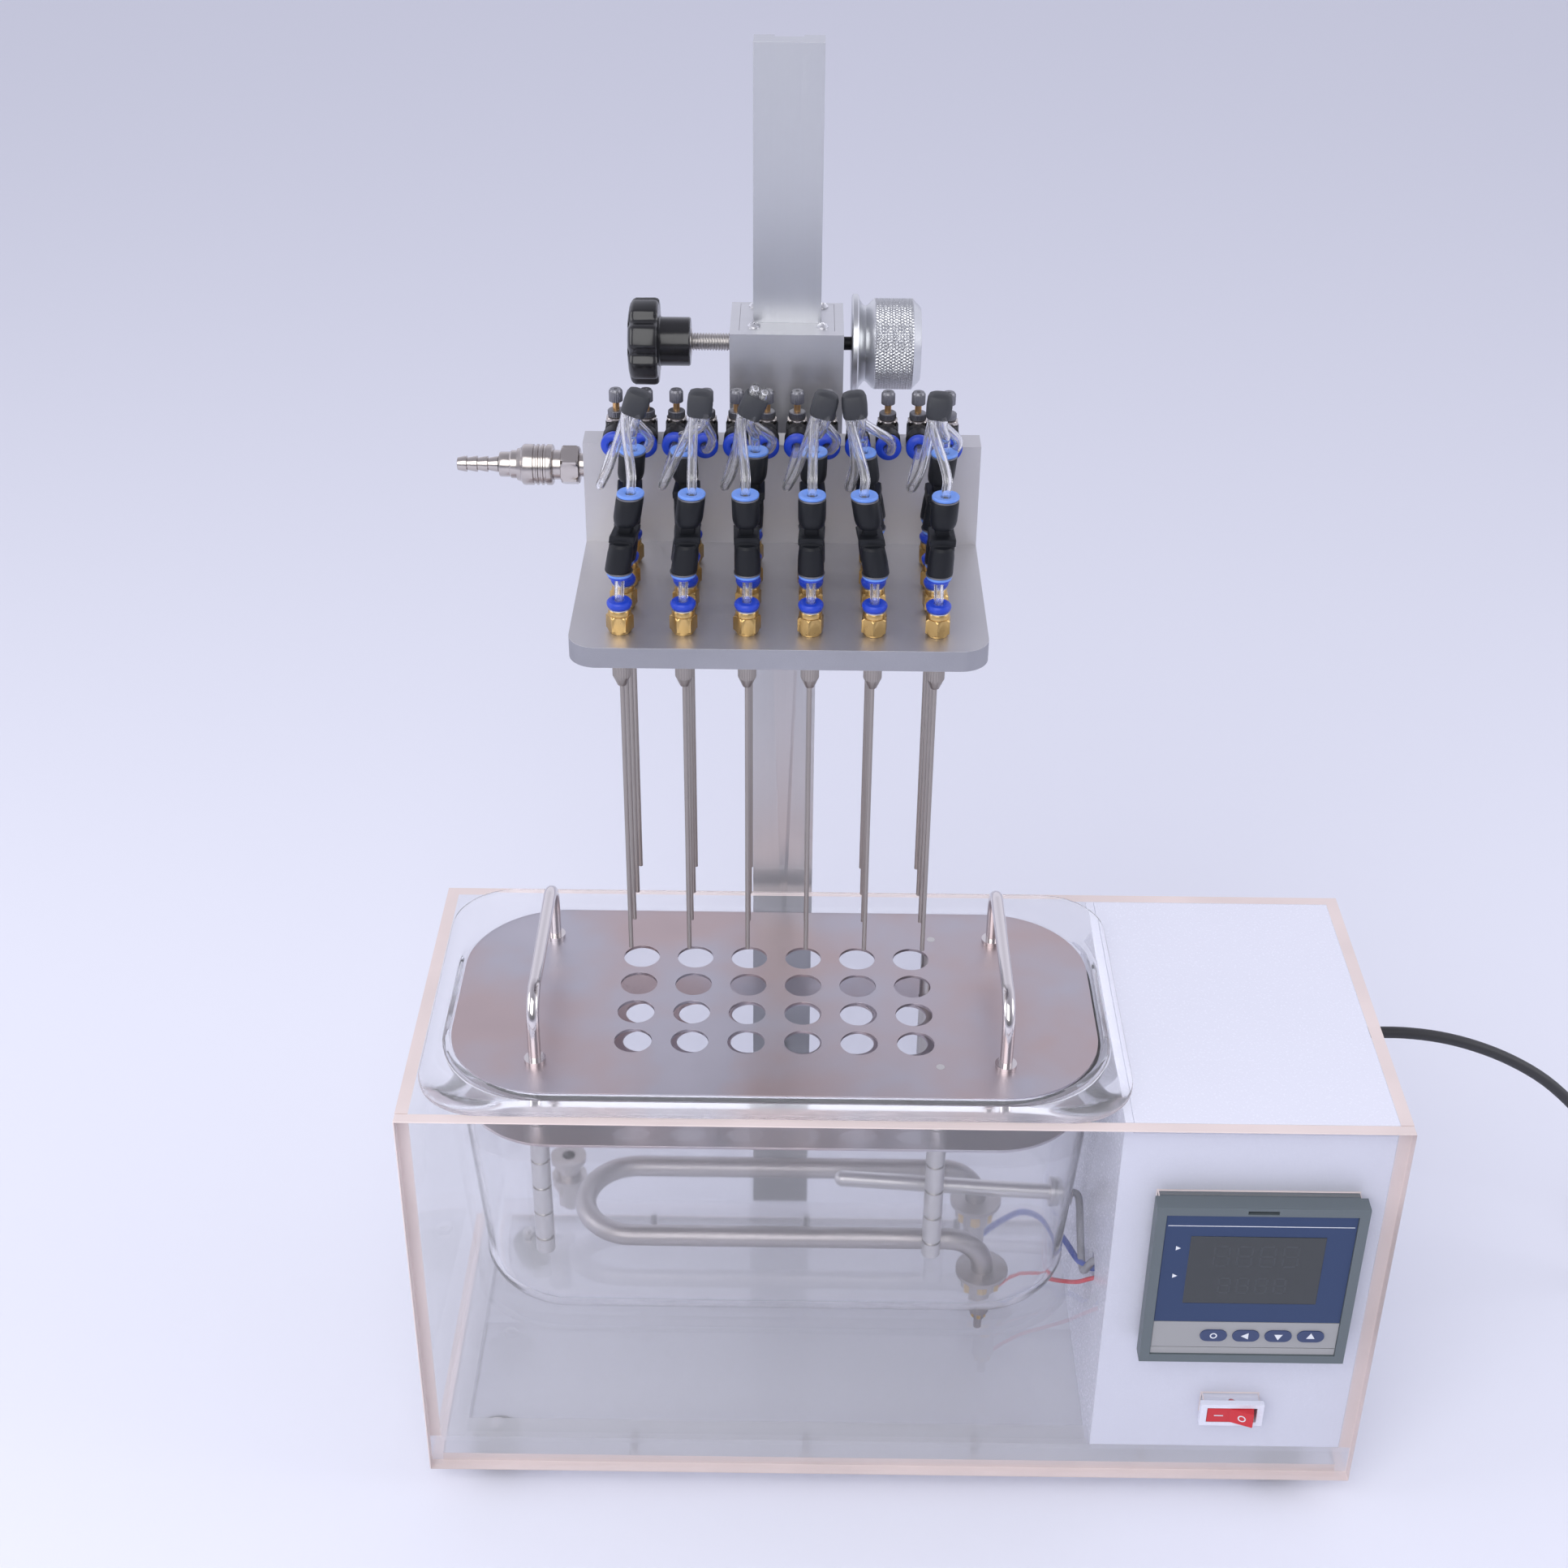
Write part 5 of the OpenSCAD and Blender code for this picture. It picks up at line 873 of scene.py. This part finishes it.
# %% Fittings and needles
fitting = joined(
    solid(turned([(4.1, 0), (4.4, 0.2), (4.4, 1.1)], 40)),
    solid(turned([(4.5, 0.9), (5.0, 1.2), (6.2, 1.8), (6.2, 7.5), (5.0, 8.2), (4.4, 8.5)], 72, hexagon(10.0))),
    solid(turned([(4.6, 8.3), (4.75, 8.5), (4.75, 10.0), (4.5, 10.6), (4.0, 10.8)], 40)))
fitting_turns = math.pi / 6 + np.radians(np.repeat([-2.0, 4.0, 8.0, 20.0, 24.0, 26.0], 4)
                                         + np.tile([0, 11, -7, 5], 6))
make("brass_fittings_turned", M["brass"], "head", moved(fitting, needle_spots, turns=fitting_turns),
     replaces=("brass_fittings",))
thin_ring = solid(turned([(4.4, 10.7), (4.7, 10.8), (4.7, 11.2), (4.3, 11.4)], 40))
make("fitting_rings", M["steel"], "head", moved(thin_ring, needle_spots), slot="needles")
NEEDLE_L = 143.6
hub = joined(
    solid(turned([(3.6, -0.01), (5, -0.3), (5, -11.4), (3.6, -12.0), (2.1, -15.6), (1.9, -16.0)][::-1], 96,
                 fluted(3.9, 24, 0.24))),
    solid(turned([(0.75, -8.5 - NEEDLE_L), (1.0, -8.3 - NEEDLE_L), (1.0, -8.0)], 16)))
make("needles_turned", M["needle"], "head", moved(hub, needle_spots - [0, 0, 9.3]), replaces=("needles",))

# %% [markdown]
# The tubing is clear and shows its bore, which is what gives it dark and bright streaks. Each loop is
# two walls along one smooth curve: the outer one faces out and the inner one faces the bore. The loops
# run from the valves to the unions and are tied in pairs by sleeves at the top.

# %% Clear tubing
SLEEVE_X, SLEEVE_TILT = [6.5, 6.3, 1.9, 4.6, -9.4, -1.0], np.radians([20, 5, 24, 15, -6, 4])
SLEEVE_Y, SLEEVE_Z, STRAND = 4.0, 38.6, 2.1


def in_sleeve(k, u, v, w):
    """A point of sleeve k: u across and w along its leaning axis, v towards the back."""
    c, s = math.cos(SLEEVE_TILT[k]), math.sin(SLEEVE_TILT[k])
    return (SLEEVE_X[k] + u * c + w * s, SLEEVE_Y + v, SLEEVE_Z - u * s + w * c)


def strands(k, u, peak):
    """The five points of a tube that goes up through sleeve k, turns over and comes down again."""
    return [in_sleeve(k, u, STRAND, -8), in_sleeve(k, u, STRAND, -1), in_sleeve(k, u, 0, peak),
            in_sleeve(k, u, -STRAND, -1), in_sleeve(k, u, -STRAND, -8)]


def low_loop(k, peak):
    """From the left valve forward and down, up through the sleeve, and down to the front union."""
    f = FRONT_LEAN[k]
    return np.array([(-6.6, 50, 4.2), (-6.6, 38, 4.2), (-8.2, 29, 1.2), (-10.5, 21, -4.3), (-10, 13, -1.3),
                     (-6.5 + SLEEVE_X[k] * 0.2, 8.5, 10)] + strands(k, -STRAND, peak)
                    + [(f, -19.5, 19), (f, -22.1, 11.7), (f, -22.1, 2.7)])


def high_loop(k, peak):
    """From the right valve up through the sleeve, and back down to the rear union."""
    b = BACK_LEAN[k]
    return np.array([(6.6, 50, 4.2), (6.6, 38, 4.2), (8.2 + SLEEVE_X[k] * 0.1, 29, 8.7),
                     (8.5 + SLEEVE_X[k] * 0.3, 18, 18)] + strands(k, STRAND, peak)
                    + [(b * 0.8 + SLEEVE_X[k] * 0.3, 9, 23), (b, 19, 18), (b, 22.1, 11.7), (b, 22.1, 2.7)])


def hose(points, ref, steps=7, sides=20, bore=1.25):
    """A tube with a bore along a smooth curve: outer rings forward, inner rings back, closed in a loop."""
    path = curve_through(points, steps)
    outer, inner = tube_rings(path, TUBE_R, sides, ref), tube_rings(path, bore, sides, ref)
    return solid(np.concatenate([outer, inner[::-1]]), ring_closed=True)


loops, shorts = [], []
for k, x in enumerate(column_x):
    peak = 6.5 if k == 2 else 2.6
    loops += [moved(hose(low_loop(k, peak), (1, 0.05, 0)), [x, 0, BAR_TOP]),
              moved(hose(high_loop(k, peak), (1, 0.05, 0)), [x, 0, BAR_TOP])]
for s in (-1, 1):
    for k in (-1, 1):
        y0, y1 = s * PITCH_Y + k * 5.5, s * PITCH_Y + k * PITCH_Y / 2
        run = [(0, y0, 468.5), (0, y0, 460.5), (0, (y0 + y1) / 2, 456.8), (0, y1, 453.1), (0, y1, 442.3)]
        shorts.append(moved(hose(np.array(run), (1, 0, 0), 5), [(x, 0, 0) for x in column_x]))
make("clear_tube_loops", M["tubing"], "head", *loops, replaces=("tubing",))
make("clear_short_tubes", M["tubing"], "head", *shorts, slot="tubing")

# %% [markdown]
# A black heat-shrink sleeve holds each pair of loops where they turn over. It is a bag with an oval
# section, open below and drawn together over the top, except for the third one, which is a plain
# ring that lets the two bends show. Its section is a superellipse, so its sides are nearly flat.

# %% Sleeves
def squarish(half_x, half_y, sides=44, power=0.62):
    """Superellipse: x = a sgn(cos t) |cos t|^p, y = b sgn(sin t) |sin t|^p."""
    t = ring_angles(sides)
    return np.stack([half_x * np.sign(np.cos(t)) * np.abs(np.cos(t)) ** power,
                     half_y * np.sign(np.sin(t)) * np.abs(np.sin(t)) ** power], axis=-1)


def sleeve_form(k):
    """Rings along the sleeve's axis, each a share of the section, swollen in the middle; closed on top."""
    if k == 2:
        rows = [(-5.4, 0.86), (-5.4, 0.98), (-4.6, 1.03), (0, 1.04), (3.6, 1.02), (4.2, 0.97), (4.2, 0.88)]
    else:
        rows = [(-4.8, 0.84), (-4.8, 0.97), (-4.2, 1.02), (0, 1.06), (3.2, 1.03), (4.8, 0.9), (5.6, 0.62),
                (5.9, 0.3), (5.9, 0.02)]
    flat = squarish(5.0, 4.4)
    rings = np.array([np.column_stack([flat * share, np.full(len(flat), w)]) for w, share in rows])
    c, s = math.cos(SLEEVE_TILT[k]), math.sin(SLEEVE_TILT[k])
    turned_rings = np.stack([rings[..., 0] * c + rings[..., 2] * s, rings[..., 1],
                             rings[..., 2] * c - rings[..., 0] * s], axis=-1)
    return solid(turned_rings + [column_x[k] + SLEEVE_X[k], SLEEVE_Y, BAR_TOP + SLEEVE_Z])


make("tube_sleeves_shrunk", M["sleeve"], "head", *[sleeve_form(k) for k in range(6)],
     replaces=("tube_sleeves",))

# %% [markdown]
# The gas comes in through a quick coupler: a hexagon on the manifold, a sliding sleeve with grooves,
# and a hose tail with sharp barbs. All three are nickel plated and lie along minus x, so the same
# turned profiles are carried to that axis. Each one rides on its own body.

# %% Gas inlet
INLET = [-144.6, 59.15, 472.0]
body_form = joined(
    solid(turned([(5.0, -2.0), (5.2, 0.1), (5.2, 2.2)], 40)),
    solid(turned([(7.4, 2.0), (8.2, 2.4), (9.6, 3.2), (9.6, 9.2), (8.2, 10.0), (7.0, 10.4)], 96, hexagon(16.0))),
    solid(turned([(6.5, 10.2), (6.5, 27.6), (6.2, 27.7), (4.3, 27.7)], 48)))
make("coupler_body_turned", M["nickel"], "head", moved(body_form, INLET, "-x"), replaces=("coupler_body",))
collar_form = solid(turned(
    [(6.6, 0), (8.2, 0), (8.8, 0.4), (9.0, 0.9), (9.0, 2.8), (8.4, 3.1), (8.4, 4.0), (9.0, 4.3), (9.0, 5.0),
     (8.4, 5.3), (8.4, 6.2), (9.0, 6.5), (9.0, 7.2), (8.4, 7.5), (8.4, 8.4), (9.0, 8.7), (9.0, 12.6), (8.7, 13.4),
     (7.6, 14.2), (7.2, 15.2), (7.0, 16.0), (6.6, 16.0)], 64), True)
make("coupler_sleeve_turned", M["nickel"], "inlet_sleeve", moved(collar_form, [INLET[0] - 13.7, *INLET[1:]], "-x"),
     replaces=("coupler_sleeve",))
barb = [(5.9, 28.2), (6.2, 28.5), (6.2, 32.2), (5.7, 32.8), (5.5, 33.0), (5.5, 37.0), (5.2, 37.6), (3.6, 37.8)]
for k in range(4):
    z = 37.9 + k * 18.6 / 4
    barb += [(2.75, z + 0.05), (3.5, z + 0.25), (3.45, z + 0.9), (2.8, z + 4.3)]
barb += [(2.4, 56.3), (2.2, 56.4)]
make("hose_tail_turned", M["nickel"], "hose_tail", moved(solid(turned(barb, 48)), INLET, "-x"),
     moved(solid(turned([(4.0, 12.0), (4.0, 28.4)], 32)), INLET, "-x"), replaces=("hose_barb",))

# %% [markdown]
# The slide block's guide plates are held by eight small pan-head screws. A head is a disc of points
# whose height is a dome, with a cross cut into it: where a point lies in either bar of the cross, the
# height drops. Four look up and four look down.

# %% Cross-head screws
def cross_head(radius=2.8, height=1.8, rings=22, sides=64):
    """A dome height * (1 - (r/R)^2.6), less 0.9 inside a cross with arms 0.42 wide and 1.7 long."""
    r, a = np.meshgrid(np.linspace(1.0, 0.02, rings), ring_angles(sides), indexing="ij")
    x, y = radius * r * np.cos(a), radius * r * np.sin(a)
    z = 0.5 + (height - 0.5) * (1 - r ** 2.6)
    arm = np.minimum(np.maximum(np.abs(x) / 1.7, np.abs(y) / 0.42),
                     np.maximum(np.abs(y) / 1.7, np.abs(x) / 0.42))
    z = z - 0.9 * np.clip((1 - arm) / 0.2, 0, 1)
    foot = np.stack([x[:1] * 0.97, y[:1] * 0.97, np.zeros_like(z[:1])], axis=-1)
    return solid(np.concatenate([foot, np.stack([x, y, z], axis=-1)]))


head = cross_head()
guide_spots = np.array([(HEAD_X + 1.6 + x, y, 0) for x in (-14.5, 15.5) for y in (87.0, 112.5)])
under = (turn_to(head[0], "-z"), head[1])
make("guide_screw_heads", M["bright_steel"], "head",
     moved(head, guide_spots + [0, 0, 526.5], turns=np.array([0.3, 1.0, 0.6, 0.1])),
     moved(under, guide_spots + [0, 0, 440.0]), replaces=("head_screws",))

# %% [markdown]
# Three leads run from the pan to the control box: a grey one from the probe, a red and a blue one from
# the heater's terminals. They are thin rods on smooth curves through a few points chosen so that each
# hangs a little and passes the divider's hole.

# %% Inner leads
probe_lead = [(91.8, 0, 103.9), (94.6, -1.5, 103.5), (95.2, -8, 101), (94.9, -20, 94), (94.6, -34, 88),
              (95, -41, 90), (98.5, -42.5, 97.5), (104, -43, 98), (112, -43, 98)]
front_lead = [(46, -25.6, 46), (49, -20, 45.5), (56, -10, 46), (66, -6, 51), (76, -16, 61), (85, -32, 74),
              (91.5, -44, 85), (98.5, -47.5, 91), (104, -47.5, 91.5), (112, -47.5, 91.5)]
rear_lead = [(46, 25.6, 46), (50, 30, 46), (60, 36, 50), (72, 35, 58), (82, 20, 68), (88.5, -5, 78),
             (92.5, -28, 86), (95.5, -37.5, 90), (98.5, -41, 91.5), (104, -41, 91.5), (112, -41, 90)]
for name, points, thick, ref, look_name in (
        ("probe_lead", probe_lead, 1.9, (0, 0.2, 1), "grey_lead"),
        ("heater_lead_red", front_lead, 1.1, (0.1, 0.2, 1), "red_lead"),
        ("heater_lead_blue", rear_lead, 1.6, (0.1, 0.2, 1), "blue_lead")):
    form = solid(tube_rings(curve_through(points, 6), thick, 14, ref))
    make(name, M[look_name], "cabinet", form, replaces=("internal_leads",) if name == "probe_lead" else (),
         slot="internal_leads")
under_pan = [(46, s * 25.6, 0) for s in (-1, 1)]
nuts = joined(moved(solid(turned([(7.6, 63.45), (10, 64.0), (10, 70.0), (7.6, 70.6)], 72,
                                 hexagon(17.1))), under_pan),
              moved(solid(turned([(3.1, 43.9), (4.2, 44.3), (4.2, 46.7), (3.1, 47.1)], 48, hexagon(7.1))),
                    under_pan))
make("heater_nuts", M["brass"], "cabinet", nuts, slot="drain_fitting")

# %% [markdown]
# The panel meter's face is a printed sheet behind its frame: blue above, silver below, with a dark
# window over the display. Each area is a thin plate, a few tenths of a millimetre high, so that the
# print has real edges. The keys carry plain arrow shapes and the first one a small ring.

# %% Meter face
FACE_Y, METER_X = -99.0, 162.6
make("meter_blue_face", M["meter_blue"], "cabinet",
     block((119.5, 205.7), (FACE_Y - 0.3, FACE_Y + 0.1), (114.4, 179.9), 0.1), slot="meter_case")
make("meter_silver_band", M["meter_silver"], "cabinet",
     block((119.5, 205.7), (FACE_Y - 0.3, FACE_Y + 0.1), (98.1, 114.1), 0.1),
     block((119.5, 205.7), (FACE_Y - 0.25, FACE_Y + 0.1), (93.8, 97.8), 0.1), slot="meter_case")
make("meter_window", M["window"], "cabinet",
     block((131.5, 193.0), (FACE_Y - 0.5, FACE_Y), (126.2, 167.4), 0.2), slot="meter_case")


def stroke(points, width, y0, y1):
    """A flat bar between two points (x, z), as a thin block standing out of the face."""
    (xa, za), (xb, zb) = points
    length = math.hypot(xb - xa, zb - za)
    bar = block((-width / 2, width / 2), (y0, y1), (0, length), 0.02)
    lean_to = math.atan2(xb - xa, zb - za)
    p = bar[0]
    turned_bar = np.stack([p[:, 0] * math.cos(lean_to) + p[:, 2] * math.sin(lean_to), p[:, 1],
                           -p[:, 0] * math.sin(lean_to) + p[:, 2] * math.cos(lean_to)], axis=-1)
    return turned_bar + [xa, 0, za], bar[1]


def arrow(x, z, size, way, y0, y1):
    """A solid triangle that points along way, an angle in the face measured from straight up."""
    corner = np.radians([0, 120, 240]) + way
    flat = np.stack([x + size * np.sin(corner), z + size * np.cos(corner)], axis=-1)
    points = np.array([(px, y, pz) for y in (y0, y1) for px, pz in flat])
    return points, [[0, 1, 2], [5, 4, 3], [0, 3, 4, 1], [1, 4, 5, 2], [2, 5, 3, 0]]


segments = {0: ((0.1, 1), (0.9, 1)), 1: ((1, 0.95), (1, 0.55)), 2: ((1, 0.45), (1, 0.05)), 3: ((0.1, 0), (0.9, 0)),
            4: ((0, 0.45), (0, 0.05)), 5: ((0, 0.95), (0, 0.55)), 6: ((0.1, 0.5), (0.9, 0.5))}
unlit = []
for row_z, tall, wide, step in ((149.5, 12.0, 6.6, 10.5), (133.0, 9.0, 5.0, 8.5)):
    for k in range(4):
        left = 162.2 - 1.5 * step - wide / 2 + k * step
        for (xa, za), (xb, zb) in segments.values():
            unlit.append(stroke(((left + xa * wide, row_z + za * tall), (left + xb * wide, row_z + zb * tall)),
                                0.9, FACE_Y - 0.52, FACE_Y - 0.4))
make("meter_unlit_digits", M["unlit"], "cabinet", *unlit, slot="meter_case")
make("meter_pointers", M["print_white"], "cabinet",
     arrow(126.0, 160.0, 1.5, math.pi / 2, FACE_Y - 0.36, FACE_Y - 0.25),
     arrow(126.0, 143.0, 1.5, math.pi / 2, FACE_Y - 0.36, FACE_Y - 0.25),
     block((120.5, 204.7), (FACE_Y - 0.34, FACE_Y - 0.25), (173.4, 173.8), 0.03), slot="meter_case")

# %% Key and switch marks
KEY_Y = FACE_Y - 0.9
for k, (name, way) in enumerate((("key_set", None), ("key_left", -math.pi / 2), ("key_down", math.pi),
                                 ("key_up", 0.0))):
    x = METER_X + (k - 1.5) * 15.1 + 8
    if way is None:
        ring = solid(turned([(1.1, 0), (1.7, 0), (1.7, 0.06), (1.1, 0.06)], 32), True)
        mark = moved(ring, [x, KEY_Y, 105.9], "-y")
    else:
        mark = arrow(x, 105.9, 2.3, way, KEY_Y - 0.06, KEY_Y + 0.05)
    make(f"{name}_mark", M["print_white"], name, mark, slot=name)
SWITCH = np.array([163.6, -91.0, 48.1])
dash = moved(block((-2.2, 2.2), (-0.06, 0.05), (-0.35, 0.35), 0.05), SWITCH + [-6.3, -4.2, 0])
circle = solid(turned([(1.35, 0), (1.95, 0), (1.95, 0.08), (1.35, 0.08)], 40), True)
circle_at = (turn_to(circle[0], "-y"), circle[1])
make("rocker_marks", M["print_white"], "rocker", dash,
     moved(circle_at, [SWITCH + [4.55, -6.14, 0]], turns=np.radians([-20.0])), slot="switch_rocker")

# %% [markdown]
# The bench is a plain pale floor, wide enough that its edge is never seen. The light is a large soft
# lamp above and in front, a weaker one from each side, and a sky that is pale at the horizon, dimmer
# overhead and dark behind the camera, as a photographer's room is: polished metal needs that contrast.

# %% Bench and light
floor_material = bpy.data.materials.new("pale_bench")
floor_material.use_nodes = True
paint = floor_material.node_tree.nodes["Principled BSDF"].inputs
paint["Base Color"].default_value, paint["Roughness"].default_value = (0.8, 0.81, 0.9, 1), 0.6
reach = 12.0
floor = new_mesh("bench", [(-reach, -reach, 0), (reach, -reach, 0), (reach, reach, 0), (-reach, reach, 0)],
                 [(0, 1, 2, 3)], floor_material, smooth=False)


def area_light(name, size, power, where, aim):
    """A square lamp of a size in metres, a power in watts, looking from where to aim."""
    data = bpy.data.lights.new(name, "AREA")
    data.size, data.energy = size, power
    lamp = bpy.data.objects.new(name, data)
    lamp.location = where
    lamp.rotation_euler = (Vector(aim) - Vector(where)).to_track_quat("-Z", "Y").to_euler()
    bpy.context.scene.collection.objects.link(lamp)
    return lamp


area_light("key_lamp", 1.8, 30.0, (-0.5, -1.6, 1.6), (0, 0, 0.2))
area_light("left_lamp", 1.0, 7.0, (-1.8, -0.2, 0.9), (0, 0, 0.3))
area_light("right_lamp", 1.0, 7.0, (1.8, -0.2, 1.0), (0, 0, 0.3))
world = bpy.data.worlds.new("studio")
world.use_nodes = True
sky = world.node_tree
direction, parts = add(sky, "ShaderNodeTexCoord"), add(sky, "ShaderNodeSeparateXYZ")
tones = add(sky, "ShaderNodeValToRGB")
room = add(sky, "ShaderNodeMapRange", values=[("From Min", -0.9), ("From Max", -0.1),
                                              ("To Min", 0.25), ("To Max", 1.0)])
backdrop = sky.nodes["Background"].inputs
for source, sink in ((direction.outputs["Generated"], parts.inputs[0]), (parts.outputs["Z"], tones.inputs[0]),
                     (parts.outputs["Y"], room.inputs[0]), (tones.outputs[0], backdrop[0]),
                     (room.outputs[0], backdrop[1])):
    sky.links.new(source, sink)
near, overhead = tones.color_ramp.elements
near.position, near.color = 0.45, (0.95, 0.96, 1.1, 1)
overhead.position, overhead.color = 0.95, (0.5, 0.5, 0.58, 1)
bpy.context.scene.world = world
bpy.context.scene.view_settings.view_transform = "Standard"
